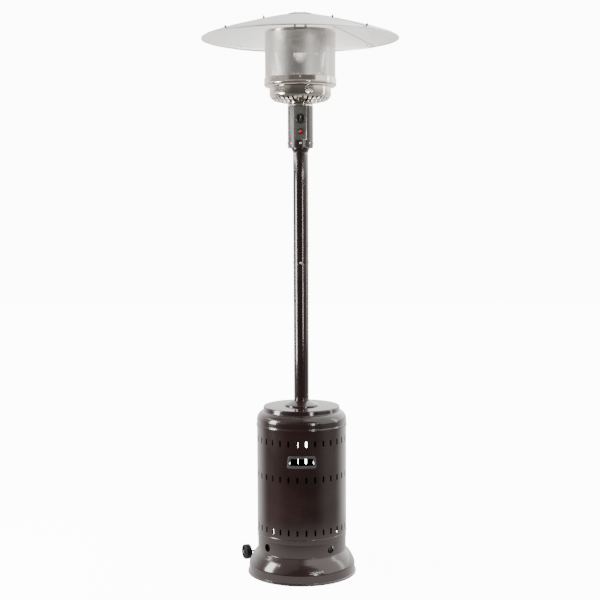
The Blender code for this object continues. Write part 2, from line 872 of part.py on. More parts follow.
bowl_small = 0.855 * burner_radius
bowl_foot = 0.36 * burner_radius
bowl_line = [
    (bowl_small, lower_ring_top),
    (bowl_small, cone_top + 2.0 * mm),
    (bowl_small - 2.0 * mm, cone_top),
    (0.80 * burner_radius, bowl_bottom + 0.68 * cone_height),
    (0.73 * burner_radius, bowl_bottom + 0.39 * cone_height),
    (bowl_foot + 3.0 * mm, bowl_bottom),
    (bowl_foot - 14.0 * mm, bowl_bottom),
]
burner_bowl = turned("burner_bowl", wrapped(bowl_line, sheet), 36, "steel")
bowl_slots = []
bowl_slots_around = 36
for i in range(bowl_slots_around):
    angle = (i + 0.5) * 2.0 * math.pi / bowl_slots_around
    middle = around(angle, 0.66 * burner_radius, bowl_bottom + 0.2 * cone_height)
    bowl_slots.append((Matrix.Translation(middle) @ Matrix.Rotation(angle, 4, "Z"), 6.0 * mm, 46.0 * mm, 40.0 * mm))
cut(burner_bowl, cutter(many("bowl_slots", bowl_slots)))

upper_line = [
    (burner_radius - 2.0 * mm, upper_ring_top),
    (burner_radius, upper_ring_top - 1.0 * mm),
    (burner_radius, lower_ring_top + 0.45 * upper_ring_height),
    (burner_radius + 1.5 * mm, lower_ring_top + 0.36 * upper_ring_height),
    (burner_radius, lower_ring_top + 0.26 * upper_ring_height),
    (burner_radius - 3.0 * mm, lower_ring_top + 0.12 * upper_ring_height),
    (bowl_small + 5.0 * mm, lower_ring_top + gap),
    (bowl_small - 12.0 * mm, lower_ring_top + gap),
]
turned("upper_bowl_ring", wrapped(upper_line, sheet), fine, "steel")

screen_radius = burner_radius - 3.0 * mm - gap
screen_sheet = 1.0 * mm
screen_profile = [
    (screen_radius, screen_top),
    (screen_radius, screen_bottom),
    (screen_radius - screen_sheet, screen_bottom),
    (screen_radius - screen_sheet, screen_top),
]
turned("emitter_screen", screen_profile, fine, "steel")
band_low = screen_top - 9.0 * mm
band_profile = [
    (screen_radius + gap + 0.8 * mm, screen_top + 1.5 * mm),
    (screen_radius + gap + 0.8 * mm, band_low),
    (screen_radius + gap, band_low),
    (screen_radius + gap, screen_top + gap),
    (screen_radius - 6.0 * mm, screen_top + gap),
    (screen_radius - 6.0 * mm, screen_top + 1.5 * mm),
]
turned("screen_band", band_profile, fine, "steel")
lid_profile = [
    (0.0, screen_top - 1.0 * mm),
    (screen_radius - screen_sheet - gap, screen_top - 1.0 * mm),
    (screen_radius - screen_sheet - gap, screen_top - 9.0 * mm),
    (screen_radius - screen_sheet - gap - sheet, screen_top - 9.0 * mm),
    (screen_radius - screen_sheet - gap - sheet, screen_top - 1.0 * mm - sheet),
    (0.0, screen_top - 1.0 * mm - sheet),
]
turned("screen_lid", lid_profile, fine, "steel")

burner_profile = [
    (0.0, lower_ring_top + 22.0 * mm),
    (60.0 * mm, lower_ring_top + 14.0 * mm),
    (70.0 * mm, lower_ring_top + 4.0 * mm),
    (60.0 * mm, lower_ring_top - 6.0 * mm),
    (14.0 * mm, lower_ring_top - 26.0 * mm),
    (12.0 * mm, neck_top - 26.0 * mm),
    (16.0 * mm, neck_top - 38.0 * mm),
    (0.0, neck_top - 38.0 * mm),
]
turned("main_burner", burner_profile, coarse, "steel")
pilot_at = (80.0 * mm, 0.0, lower_ring_top + 10.0 * mm)
block("pilot_bracket", pilot_at, (8.0 * mm, 30.0 * mm, 34.0 * mm), "zinc")
probe_profile = [
    (0.0, lower_ring_top + 34.0 * mm),
    (2.0 * mm, lower_ring_top + 30.0 * mm),
    (2.0 * mm, lower_ring_top + 2.0 * mm),
    (3.5 * mm, lower_ring_top),
    (3.5 * mm, lower_ring_top - 30.0 * mm),
    (0.0, lower_ring_top - 30.0 * mm),
]
thermocouple = turned_loose("thermocouple", probe_profile, 12)
place(thermocouple, Matrix.Translation((90.0 * mm, 0.0, 0.0)))
finish(thermocouple, "brass")

# ---------------------------------------------------------------- reflector

hem_height = crown_height - 97.0 * mm
dome_drop = crown_height - hem_height
dome_line = [
    (6.0 * mm, crown_height),
    (0.16 * reflector_radius, crown_height - 0.04 * dome_drop),
    (0.31 * reflector_radius, crown_height - 0.165 * dome_drop),
    (0.50 * reflector_radius, crown_height - 0.36 * dome_drop),
    (0.66 * reflector_radius, crown_height - 0.54 * dome_drop),
    (0.82 * reflector_radius, crown_height - 0.725 * dome_drop),
    (0.965 * reflector_radius, crown_height - 0.925 * dome_drop),
]
flange_drop = 4.0 * mm
under_inset = lap_step + 0.1 * mm
quarter = 2.0 * math.pi / panels_around
bolt_places = (0.475, 0.965)
seam_bolt_radius = 2.5 * mm


def dome_height(share):
    """The height of the dome's outer face at a share of its radius."""
    radius = share * reflector_radius
    for (r1, z1), (r2, z2) in zip(dome_line, dome_line[1:]):
        if r1 <= radius <= r2:
            return z1 + (z2 - z1) * (radius - r1) / (r2 - r1)
    return dome_line[-1][1]


def panel_section(lift, inset):
    """The closed section of one panel: the dome line, a turned-down edge, and the underside."""
    edge = reflector_radius - inset
    upper_side = list(dome_line)
    rim = [
        (edge - 0.8 * mm, hem_height + 0.7 * mm),
        (edge, hem_height - 0.5 * mm),
        (edge, hem_height - flange_drop),
        (edge - reflector_sheet, hem_height - flange_drop),
        (edge - reflector_sheet, hem_height - 0.8 * mm),
    ]
    lower_side = [(r, z - reflector_sheet) for r, z in reversed(dome_line)]
    return [(r, 0.0, z + lift) for r, z in upper_side + rim + lower_side]


bolt_holes = []
for i in range(panels_around):
    for share in bolt_places:
        angle = seam_turn + i * quarter
        middle = around(angle, share * reflector_radius, dome_height(share))
        bolt_holes.append((Matrix.Translation(middle), seam_bolt_radius + gap, 20.0 * mm))
post_radius = 3.0 * mm
post_offset = 22.0 * mm
for side in (-1.0, 1.0):
    middle = Matrix.Translation((side * post_offset, 0.0, crown_height))
    bolt_holes.append((middle, post_radius + slide_gap, 30.0 * mm))
bolt_cutter = cutter(tubes("seam_bolt_holes", bolt_holes, 8))
for i, name in enumerate(("front", "right", "back", "left")):
    upper = i % 2 == 1
    spread = quarter + panel_lap
    points = panel_section(0.0, 0.0) if upper else panel_section(-lap_step, under_inset)
    count = len(points)
    thing = mesh_object("reflector_panel_" + name, points, [], [tuple(range(count))])
    shape = bmesh.new()
    shape.from_mesh(thing.data)
    first = seam_turn + i * quarter - panel_lap / 2.0 - math.pi / 2.0
    bmesh.ops.rotate(shape, verts=shape.verts, cent=(0, 0, 0), matrix=Matrix.Rotation(first, 3, "Z"))
    bmesh.ops.spin(
        shape,
        geom=shape.verts[:] + shape.edges[:] + shape.faces[:],
        cent=(0, 0, 0),
        axis=(0, 0, 1),
        angle=spread,
        steps=panel_flats,
        use_duplicate=False,
    )
    bmesh.ops.remove_doubles(shape, verts=shape.verts, dist=0.00001)
    bmesh.ops.recalc_face_normals(shape, faces=shape.faces)
    shape.to_mesh(thing.data)
    shape.free()
    finish(thing, "aluminium")
    cut(thing, bolt_cutter)

crown_radius = 55.0 * mm
washer_profile = [
    (3.5 * mm, crown_height + 2.4 * mm),
    (crown_radius - 2.0 * mm, crown_height + 2.4 * mm),
    (crown_radius, crown_height + 1.4 * mm),
    (crown_radius, crown_height + gap),
    (3.5 * mm, crown_height + gap),
]
crown_plate = turned("crown_plate", washer_profile, coarse, "aluminium")
cut(crown_plate, bolt_cutter)

post_foot = screen_top - 1.0 * mm + gap
post_shoulder = crown_height - lap_step - reflector_sheet - 1.2 * mm
post_profile = [
    (0.0, crown_height + 12.0 * mm),
    (post_radius, crown_height + 11.0 * mm),
    (post_radius, post_shoulder),
    (2.0 * post_radius, post_shoulder),
    (2.0 * post_radius, post_foot),
    (0.0, post_foot),
]
crown_bore = (post_radius + 0.2 * mm) / math.cos(math.pi / 6.0)
crown_nut_profile = [
    (crown_bore, crown_height + 8.0 * mm),
    (6.0 * mm, crown_height + 8.0 * mm),
    (6.0 * mm, crown_height + 2.7 * mm),
    (crown_bore, crown_height + 2.7 * mm),
]
for side, name in ((-1.0, "left"), (1.0, "right")):
    across = Matrix.Translation((side * post_offset, 0.0, 0.0))
    post = turned_loose("reflector_post_" + name, post_profile, 12)
    place(post, across)
    finish(post, "zinc")
    nut = turned_loose("crown_nut_" + name, crown_nut_profile, 6)
    place(nut, across)
    finish(nut, "zinc")

# ---------------------------------------------------------------- gas line

nipple_radius = 7.0 * mm
regulator_radius = 30.0 * mm
regulator_top = plate_bottom - 38.0 * mm
regulator_bottom = regulator_top - 28.0 * mm
outlet_bottom = regulator_bottom - 34.0 * mm
regulator_profile = [
    (0.0, regulator_top + 16.0 * mm),
    (nipple_radius, regulator_top + 16.0 * mm),
    (nipple_radius, regulator_top + 2.0 * mm),
    (regulator_radius - 8.0 * mm, regulator_top),
    (regulator_radius, regulator_top - 6.0 * mm),
    (regulator_radius, regulator_bottom + 6.0 * mm),
    (regulator_radius - 8.0 * mm, regulator_bottom),
    (nipple_radius, regulator_bottom),
    (nipple_radius, outlet_bottom),
    (0.0, outlet_bottom),
]
turned("regulator", regulator_profile, coarse, "zinc")
wheel_grip = 16.0 * mm
coupling_top = outlet_bottom + 20.0 * mm
coupling_bottom = outlet_bottom - 6.0 * mm
coupling_profile = [
    (nipple_radius + slide_gap, coupling_top),
    (wheel_grip - 3.0 * mm, coupling_top),
    (wheel_grip, coupling_top - 3.0 * mm),
    (wheel_grip, coupling_bottom),
    (wheel_grip - 4.0 * mm, coupling_bottom),
    (wheel_grip - 4.0 * mm, outlet_bottom - slide_gap),
    (nipple_radius + slide_gap, outlet_bottom - slide_gap),
]
turned("coupling_nut", coupling_profile, 16, "black")

strap_half = regulator_radius + 2.0 * mm
strap_reach = socket_flange + 14.0 * mm
strap_sheet = 2.0 * mm
strap_top = plate_bottom - gap
strap_bottom = regulator_bottom - gap - 1.0 * mm
strap_outline = [
    (-strap_reach, strap_top - strap_sheet),
    (-socket_flange - 4.0 * mm, strap_top - strap_sheet),
    (-strap_half - strap_sheet, regulator_top - 4.0 * mm),
    (-strap_half - strap_sheet, strap_bottom - strap_sheet),
    (strap_half + strap_sheet, strap_bottom - strap_sheet),
    (strap_half + strap_sheet, regulator_top - 4.0 * mm),
    (socket_flange + 4.0 * mm, strap_top - strap_sheet),
    (strap_reach, strap_top - strap_sheet),
    (strap_reach, strap_top),
    (socket_flange + 2.0 * mm, strap_top),
    (strap_half, regulator_top - 3.0 * mm),
    (strap_half, strap_bottom),
    (-strap_half, strap_bottom),
    (-strap_half, regulator_top - 3.0 * mm),
    (-socket_flange - 2.0 * mm, strap_top),
    (-strap_reach, strap_top),
]
strap = prism("regulator_strap", strap_outline, -8.0 * mm, 8.0 * mm, "Y", "zinc")
strap_hole = (Matrix.Translation((0.0, 0.0, strap_bottom)), nipple_radius + gap, 12.0 * mm)
cut(strap, cutter(tubes("strap_hole", [strap_hole], 16)))

hose_radius = 5.0 * mm
hose_start = valve_front + valve_depth + gap
hose_back = hose_start + 24.0 * mm
hose_bottom = regulator_top + 16.0 * mm + gap
hose_path = [
    (0.0, hose_start, knob_height),
    (0.0, hose_start + 14.0 * mm, knob_height),
    (0.0, hose_back, knob_height - 14.0 * mm),
    (0.0, hose_back, head_bottom + 36.0 * mm),
    (0.0, 0.5 * hose_back, head_bottom + 2.0 * mm),
    (0.0, 0.0, pole_top - 30.0 * mm),
    (0.0, 0.0, hose_bottom),
]
hose_curve = bpy.data.curves.new("gas_hose", "CURVE")
hose_curve.dimensions = "3D"
hose_curve.bevel_depth = hose_radius
hose_curve.bevel_resolution = 2
hose_curve.use_fill_caps = True
line = hose_curve.splines.new("POLY")
line.points.add(len(hose_path) - 1)
for point, where in zip(line.points, hose_path):
    point.co = (*where, 1.0)
hose_source = bpy.data.objects.new("gas_hose_line", hose_curve)
bpy.context.scene.collection.objects.link(hose_source)
bpy.context.view_layer.update()
graph = bpy.context.evaluated_depsgraph_get()
hose_mesh = bpy.data.meshes.new_from_object(hose_source.evaluated_get(graph))
bpy.data.objects.remove(hose_source, do_unlink=True)
shape = bmesh.new()
shape.from_mesh(hose_mesh)
bmesh.ops.remove_doubles(shape, verts=shape.verts, dist=0.00001)
bmesh.ops.recalc_face_normals(shape, faces=shape.faces)
shape.to_mesh(hose_mesh)
shape.free()
finish(bpy.data.objects.new("gas_hose", hose_mesh), "rubber")
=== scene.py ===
import math

import bmesh
import bpy
import numpy as np
from mathutils import Matrix, Vector


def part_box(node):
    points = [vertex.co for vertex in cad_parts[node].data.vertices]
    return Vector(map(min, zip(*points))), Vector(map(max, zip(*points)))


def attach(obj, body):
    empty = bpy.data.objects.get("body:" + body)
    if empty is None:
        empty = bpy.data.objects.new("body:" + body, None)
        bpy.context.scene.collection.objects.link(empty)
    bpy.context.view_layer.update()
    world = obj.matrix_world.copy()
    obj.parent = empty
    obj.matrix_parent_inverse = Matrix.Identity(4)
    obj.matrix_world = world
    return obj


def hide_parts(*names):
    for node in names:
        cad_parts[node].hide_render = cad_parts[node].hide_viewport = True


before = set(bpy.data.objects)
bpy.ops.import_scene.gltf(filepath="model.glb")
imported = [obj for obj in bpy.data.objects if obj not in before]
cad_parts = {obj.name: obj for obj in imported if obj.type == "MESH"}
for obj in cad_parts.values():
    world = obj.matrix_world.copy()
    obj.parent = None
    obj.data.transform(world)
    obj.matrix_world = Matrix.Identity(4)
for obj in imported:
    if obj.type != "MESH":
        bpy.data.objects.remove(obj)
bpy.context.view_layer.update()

mm = 0.001


# Base shell. A steel sheet spun into a low dome with a flat deck, a straight band and a flared lip on the floor.
# It is powder-coated gloss bronze-brown, like the rest of the stand, so the paint is mixed here.


class Socket:
    """A shader socket that takes Python arithmetic."""

    def __init__(self, sheet, link):
        self.sheet = sheet
        self.link = link

    def _maths(self, operation, *values):
        return self.sheet.node("ShaderNodeMath", {"operation": operation}, dict(enumerate(values)))

    def __add__(self, other):
        return self._maths("ADD", self, other)

    __radd__ = __add__

    def __mul__(self, other):
        return self._maths("MULTIPLY", self, other)

    __rmul__ = __mul__

    def __sub__(self, other):
        return self._maths("SUBTRACT", self, other)

    def __rsub__(self, other):
        return self._maths("SUBTRACT", other, self)

    def __truediv__(self, other):
        return self._maths("DIVIDE", self, other)

    def modulo(self, size):
        return self._maths("FLOORED_MODULO", self, size)

    def fade(self, start, end):
        """0 at start, 1 at end, smooth between."""
        settings = {"interpolation_type": "SMOOTHSTEP"}
        inputs = {"Value": self, "From Min": start, "From Max": end}
        return self.sheet.node("ShaderNodeMapRange", settings, inputs)


class Sheet:
    """A node tree under construction."""

    def node(self, kind, settings=None, inputs=None, output=0):
        node = self.tree.nodes.new(kind)
        for setting, value in (settings or {}).items():
            setattr(node, setting, value)
        for socket, value in (inputs or {}).items():
            if isinstance(value, Socket):
                self.tree.links.new(value.link, node.inputs[socket])
            else:
                node.inputs[socket].default_value = value
        return Socket(self, node.outputs[output])


class Finish(Sheet):
    """One material, with its shader ready to be fed."""

    def __init__(self, name, **constants):
        self.material = bpy.data.materials.new(name)
        self.material.use_nodes = True
        self.tree = self.material.node_tree
        self.shader = self.tree.nodes["Principled BSDF"]
        for socket, value in constants.items():
            self.shader.inputs[socket.replace("_", " ")].default_value = value

    def place(self, scale=(1.0, 1.0, 1.0), turn=(0.0, 0.0, 0.0)):
        where = self.node("ShaderNodeTexCoord", output="Object")
        return self.node("ShaderNodeMapping", {}, {"Vector": where, "Scale": scale, "Rotation": turn})

    def noise(self, size, detail=3.0, rough=0.5, stretch=(1.0, 1.0, 1.0), where=None):
        """Soft noise whose blotches are about this size in metres."""
        where = where or self.place(tuple(1.0 / (size * s) for s in stretch))
        inputs = {"Vector": where, "Scale": 1.0, "Detail": detail, "Roughness": rough}
        return self.node("ShaderNodeTexNoise", {"noise_dimensions": "3D"}, inputs)

    def axis(self, name, where=None):
        where = where or self.node("ShaderNodeTexCoord", output="Object")
        return self.node("ShaderNodeSeparateXYZ", {}, {"Vector": where}, output=name)

    def blend(self, factor, first, second):
        settings = {"data_type": "RGBA", "blend_type": "MIX"}
        inputs = {0: factor, 6: first, 7: second}
        return self.node("ShaderNodeMix", settings, inputs, output=2)

    def feed(self, socket, value):
        self.tree.links.new(value.link, self.shader.inputs[socket])

    def bump(self, height, distance, strength=1.0):
        inputs = {"Height": height, "Distance": distance, "Strength": strength}
        self.feed("Normal", self.node("ShaderNodeBump", {}, inputs))


def colour(red, green, blue):
    """A colour given as it looks on a screen, 0 to 255, turned to linear light."""
    shades = []
    for value in (red, green, blue):
        value /= 255.0
        shades.append(value / 12.92 if value <= 0.04045 else ((value + 0.055) / 1.055) ** 2.4)
    return (*shades, 1.0)


def powder_coat(name, dark, light, gloss=0.16, coat=0.09):
    """Gloss powder coat: two close browns in soft clouds, a faint orange peel and fine pale specks."""
    paint = Finish(name, Metallic=0.0, Coat_Roughness=coat, IOR=1.5)
    clouds = paint.noise(0.16, 4.0, 0.55)
    specks = paint.noise(0.0012, 2.0, 0.6)
    shade = paint.blend(clouds.fade(0.35, 0.65), dark, light)
    flake = tuple(min(1.0, c * 2.2 + 0.004) for c in light[:3]) + (1.0,)
    paint.feed("Base Color", paint.blend(specks.fade(0.60, 0.80) * 0.12, shade, flake))
    paint.feed("Roughness", clouds.fade(0.3, 0.7) * 0.07 + specks * 0.02 + (gloss - 0.03))
    paint.feed("Coat Weight", clouds.fade(0.2, 0.8) * 0.15 + 0.55)
    paint.bump(paint.noise(0.012, 1.0, 0.4), 0.00001, 0.2)
    return paint.material


bronze_paint = powder_coat("bronze_paint", colour(33, 19, 18), colour(41, 24, 23))


def rounded(corners, steps=6):
    """A line of (radius, height, rounding) corners, with each corner rounded off."""
    line = []
    count = len(corners)
    for i, (x, y, size) in enumerate(corners):
        here = Vector((x, y))
        if size <= 0.0 or i in (0, count - 1):
            line.append((x, y))
            continue
        before = Vector(corners[i - 1][:2]) - here
        after = Vector(corners[i + 1][:2]) - here
        reach = min(size, before.length * 0.49, after.length * 0.49)
        start = here + before.normalized() * reach
        end = here + after.normalized() * reach
        for k in range(steps + 1):
            t = k / steps
            point = start * (1 - t) ** 2 + here * 2 * t * (1 - t) + end * t ** 2
            line.append((point.x, point.y))
    return line


def profile(*corners, steps=6):
    """A rounded line whose corners are given in millimetres."""
    return rounded([(x * mm, y * mm, size * mm) for x, y, size in corners], steps)


def set_in(line, thickness):
    """The line moved to its inner side by the thickness, in reverse order. Lines run down the outer side."""
    inner = []
    for i, point in enumerate(line):
        before = Vector(line[max(i - 1, 0)])
        here = Vector(point)
        after = Vector(line[min(i + 1, len(line) - 1)])
        along = ((here - before).normalized() + (after - here).normalized()).normalized()
        moved = here + Vector((along.y, -along.x)) * thickness
        inner.append((max(moved.x, 0.0), moved.y))
    return inner[::-1]


def lathe(name, line, steps=128, closed=True, middle=(0.0, 0.0)):
    """A line of (radius, height) turned about the upright axis into a closed skin."""
    shape = bmesh.new()
    rings = []
    for radius, height in line:
        if radius < 1e-6:
            rings.append([shape.verts.new((middle[0], middle[1], height))])
            continue
        ring = []
        for k in range(steps):
            angle = 2.0 * math.pi * k / steps
            x, y = middle[0] + radius * math.sin(angle), middle[1] - radius * math.cos(angle)
            ring.append(shape.verts.new((x, y, height)))
        rings.append(ring)
    pairs = list(zip(rings, rings[1:]))
    if closed and (len(rings[0]) > 1 or len(rings[-1]) > 1):
        pairs.append((rings[-1], rings[0]))
    for top, low in pairs:
        for k in range(steps):
            n = (k + 1) % steps
            if len(top) == 1 and len(low) == 1:
                break
            if len(top) == 1:
                shape.faces.new((top[0], low[k], low[n]))
            elif len(low) == 1:
                shape.faces.new((top[k], low[0], top[n]))
            else:
                shape.faces.new((top[k], low[k], low[n], top[n]))
    return from_shape(name, shape)


def skin(shape, rings, caps=False):
    """Joins each ring of points to the next with faces."""
    for first, second in zip(rings, rings[1:]):
        for k in range(len(first)):
            n = (k + 1) % len(first)
            shape.faces.new((first[k], first[n], second[n], second[k]))
    if caps:
        shape.faces.new(rings[0])
        shape.faces.new(rings[-1][::-1])


def from_shape(name, shape, sharp=30.0):
    bmesh.ops.remove_doubles(shape, verts=shape.verts, dist=0.000001)
    bmesh.ops.recalc_face_normals(shape, faces=shape.faces)
    thing = loose(name, shape)
    smooth(thing, sharp)
    return thing


def loose(name, shape=None):
    """An object at the origin, with the shape as its mesh."""
    mesh = bpy.data.meshes.new(name)
    if shape:
        shape.to_mesh(mesh)
        shape.free()
    thing = bpy.data.objects.new(name, mesh)
    bpy.context.scene.collection.objects.link(thing)
    return thing


def smooth(thing, sharp=30.0):
    mesh = thing.data
    mesh.polygons.foreach_set("use_smooth", [True] * len(mesh.polygons))
    mesh.set_sharp_from_angle(angle=math.radians(sharp))
    mesh.update()


def fit(thing, body, look, *nodes, slot=None):
    """Gives a finished piece its look, its body and the frame nodes it stands for."""
    thing.data.materials.clear()
    thing.data.materials.append(look)
    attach(thing, body)
    if nodes:
        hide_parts(*nodes)
    return thing


base_line = profile(
    (20, 99, 0), (188.2, 99, 1.5), (195.4, 90.5, 6), (203, 82, 9), (214, 64.5, 10), (222.3, 45, 9), (223.4, 39, 2),
    (223.9, 9, 0.8), (228.4, 6.4, 0.6), (228.9, 5.8, 0.4), (228.9, 0, 0),
)
base_shell = lathe("base_shell_spun", base_line + set_in(base_line, 1.4 * mm), 160)
fit(base_shell, "stand", bronze_paint, "base_shell")


# Water ballast tank. Blow-moulded black polyethylene held under the deck, with a screw cap over its filler hole.


def moulded(name, shade, roughness, grain=0.0009, depth=0.00006, spread=0.12):
    """Moulded plastic with a fine spark-eroded grain and slightly uneven gloss."""
    plastic = Finish(name, Metallic=0.0, IOR=1.46)
    clouds = plastic.noise(0.05, 3.0, 0.5)
    fine = plastic.noise(grain, 2.0, 0.55)
    lighter = tuple(min(1.0, c * 1.35 + 0.003) for c in shade[:3]) + (1.0,)
    plastic.feed("Base Color", plastic.blend(clouds.fade(0.3, 0.7) * 0.6 + fine * 0.3, shade, lighter))
    plastic.feed("Roughness", fine * spread + clouds * 0.06 + (roughness - spread * 0.5))
    plastic.bump(fine, depth, 0.5)
    return plastic.material


def repaint(node, look):
    """Puts a look on a piece of the frame whose shape is right as it is."""
    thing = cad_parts[node]
    thing.data.materials.clear()
    thing.data.materials.append(look)


tank_plastic = moulded("tank_plastic", colour(24, 24, 25), 0.55)
repaint("ballast_tank", tank_plastic)
repaint("tank_cap", tank_plastic)


# Lower collar. A short rolled steel band that stands on the deck inside the housing and takes its lower edge.
# It has four round vent holes punched through it, and it is powder-coated bronze like the base.


class Recipe(Sheet):
    """A Geometry Nodes tree with named inputs, which works on a piece's own mesh."""

    def __init__(self, name, **inputs):
        self.tree = bpy.data.node_groups.new(name, "GeometryNodeTree")
        self.tree.is_modifier = True
        face = self.tree.interface
        face.new_socket("Geometry", in_out="INPUT", socket_type="NodeSocketGeometry")
        self.names = {}
        for label, kind in inputs.items():
            self.names[label] = face.new_socket(label, in_out="INPUT", socket_type="NodeSocket" + kind).identifier
        face.new_socket("Geometry", in_out="OUTPUT", socket_type="NodeSocketGeometry")
        self.inlet = self.tree.nodes.new("NodeGroupInput")
        self.outlet = self.tree.nodes.new("NodeGroupOutput")

    def given(self, label):
        return Socket(self, self.inlet.outputs[label])

    def end(self, geometry):
        plain = self.node("GeometryNodeRealizeInstances", {}, {"Geometry": geometry})
        made = self.node("GeometryNodeSetMaterial", {}, {"Geometry": plain, "Material": self.given("Look")})
        self.tree.links.new(made.link, self.outlet.inputs["Geometry"])


def grow(thing, recipe, look, sharp=30.0, **values):
    """Runs a recipe on a piece and keeps what it makes as the piece's plain mesh."""
    modifier = thing.modifiers.new(recipe.tree.name, "NODES")
    modifier.node_group = recipe.tree
    modifier[recipe.names["Look"]] = look
    for label, value in values.items():
        modifier[recipe.names[label]] = value
    bpy.context.view_layer.update()
    graph = bpy.context.evaluated_depsgraph_get()
    mesh = bpy.data.meshes.new_from_object(thing.evaluated_get(graph))
    thing.modifiers.clear()
    thing.data = mesh
    smooth(thing, sharp)
    for tool in values.values():
        if isinstance(tool, bpy.types.Object):
            bpy.data.objects.remove(tool)
    return thing


def ring_of(recipe):
    """Copies of the tool, turned evenly about the upright axis."""
    count = recipe.given("Count")
    points = recipe.node("GeometryNodeMeshLine", {"mode": "OFFSET"}, {"Count": count, "Offset": (0.0, 0.0, 0.0)})
    tool = recipe.node("GeometryNodeObjectInfo", {"transform_space": "ORIGINAL"}, {0: recipe.given("Tool")}, 4)
    turn = recipe.node("GeometryNodeInputIndex") * (2.0 * math.pi) / count + recipe.given("First")
    angles = recipe.node("ShaderNodeCombineXYZ", {}, {"Z": turn})
    inputs = {"Points": points, "Instance": tool, "Rotation": angles}
    return recipe.node("GeometryNodeInstanceOnPoints", {}, inputs)


cut_around = Recipe("cut_around", Tool="Object", Count="Int", First="Float", Look="Material")
cutting_tools = cut_around.node("GeometryNodeRealizeInstances", {}, {"Geometry": ring_of(cut_around)})
cut_inputs = {"Mesh 1": cut_around.given("Geometry"), "Mesh 2": cutting_tools}
cut_around.end(cut_around.node("GeometryNodeMeshBoolean", {"operation": "DIFFERENCE", "solver": "EXACT"}, cut_inputs))


def plug(name, outline, start, end):
    """A flat outline in (across, up) pushed along Y from start to end, as a closed skin."""
    shape = bmesh.new()
    near = [shape.verts.new((x, start, z)) for x, z in outline]
    far = [shape.verts.new((x, end, z)) for x, z in outline]
    count = len(outline)
    shape.faces.new(near)
    shape.faces.new(far[::-1])
    for i in range(count):
        shape.faces.new((near[i], far[i], far[(i + 1) % count], near[(i + 1) % count]))
    return from_shape(name, shape)


def upright(half_width, low, high):
    """The outline of an upright rectangle, given in millimetres."""
    across, low, high = half_width * mm, low * mm, high * mm
    return [(-across, low), (across, low), (across, high), (-across, high)]


def circle(radius, steps, middle=(0.0, 0.0)):
    turns = [2.0 * math.pi * k / steps for k in range(steps)]
    return [(middle[0] + radius * math.cos(t), middle[1] + radius * math.sin(t)) for t in turns]


collar_line = profile((181.5, 163.3, 0), (186.2, 161, 3), (186.2, 101, 1), (187.6, 99.3, 0))
lower_collar = lathe("lower_collar_band", collar_line + set_in(collar_line, 1.2 * mm), 160)
vent = plug("collar_vent", circle(16.5 * mm, 40, (0.0, 129.7 * mm)), -0.20, -0.16)
grow(lower_collar, cut_around, bronze_paint, Tool=vent, Count=4, First=math.radians(39.5))
fit(lower_collar, "stand", bronze_paint, "lower_collar")


# Support legs. Three flat steel strips bent into brackets, bolted to the deck and to the plate under the pole.
# The strips are powder-coated with the base before they are fitted.


def band(name, path, width, thickness, matrix=Matrix.Identity(4), bend=6):
    """A strip bent along a path of (x, z, rounding) corners in mm, its width along Y, with eased edges."""
    line = [Vector((x, 0.0, z)) for x, z in profile(*path, steps=bend)]
    ease = min(thickness * 0.25, width * 0.1)
    half = width / 2.0
    section = [(-half, ease), (-half + ease, 0.0), (half - ease, 0.0), (half, ease)]
    section += [(y, thickness - d) for y, d in section[::-1]]
    shape = bmesh.new()
    rings = []
    for i, point in enumerate(line):
        before = point - line[i - 1] if i > 0 else line[1] - point
        after = line[i + 1] - point if i < len(line) - 1 else before
        along = (before.normalized() + after.normalized()).normalized()
        side = Vector((along.z, 0.0, -along.x))
        stretch = 1.0 / max(0.5, side.dot(Vector((before.normalized().z, 0.0, -before.normalized().x))))
        rings.append([shape.verts.new(point + Vector((0.0, y, 0.0)) + side * d * stretch) for y, d in section])
    skin(shape, rings, caps=True)
    shape.transform(matrix)
    return from_shape(name, shape)


for number, degrees in enumerate((-50.0, 70.0, 190.0)):
    leg_path = [(138.5, 99.4, 0), (166.3, 99.4, 4), (166.3, 678.8, 4), (138.5, 678.8, 0)]
    turn = Matrix.Rotation(math.radians(degrees) - math.pi / 2.0, 4, "Z")
    leg = band(f"support_leg_strip_{number + 1}", leg_path[::-1], 24.0 * mm, 3.0 * mm, turn)
    fit(leg, "stand", bronze_paint, f"support_leg_{number + 1}")


# Pole plate and socket. A round steel plate on the legs carries the zinc-plated socket that the pole slides over.
# Both are cut from plate; the plate is coated with the stand and the socket is left plated.


def metal(name, shade, roughness, brushed=(1.0, 1.0, 0.02), grain=0.004, spread=0.10, depth=0.00002, tint=None):
    """Bare or plated metal with grain drawn out along its working direction, and faint stains."""
    bare = Finish(name, Metallic=1.0)
    stains = bare.noise(0.07, 3.0, 0.55)
    lines = bare.noise(grain, 3.0, 0.6, brushed)
    other = tint or tuple(c * 0.86 for c in shade[:3]) + (1.0,)
    worn = bare.blend(stains.fade(0.42, 0.75) * 0.6, shade, other)
    darker = tuple(c * 0.80 for c in shade[:3]) + (1.0,)
    bare.feed("Base Color", bare.blend(lines.fade(0.35, 0.75) * 0.35, worn, darker))
    bare.feed("Roughness", lines * spread + stains * 0.08 + (roughness - spread * 0.5 - 0.04))
    bare.bump(lines, depth, 0.4)
    return bare.material


zinc_plate = metal("zinc_plate", (0.56, 0.57, 0.59, 1.0), 0.34, (1.0, 1.0, 1.0), 0.006, tint=(0.52, 0.50, 0.42, 1.0))
repaint("top_plate", bronze_paint)
repaint("pole_socket", zinc_plate)


# Wheel bracket and axle. A bent steel bracket at the back of the base holds a plain rod with a nut at each end.
# The bracket and the rod are coated satin black, and the nuts are zinc-plated.


def facing(direction):
    """Turns +Z to the direction."""
    return Vector(direction).to_track_quat("Z", "Y").to_matrix().to_4x4()


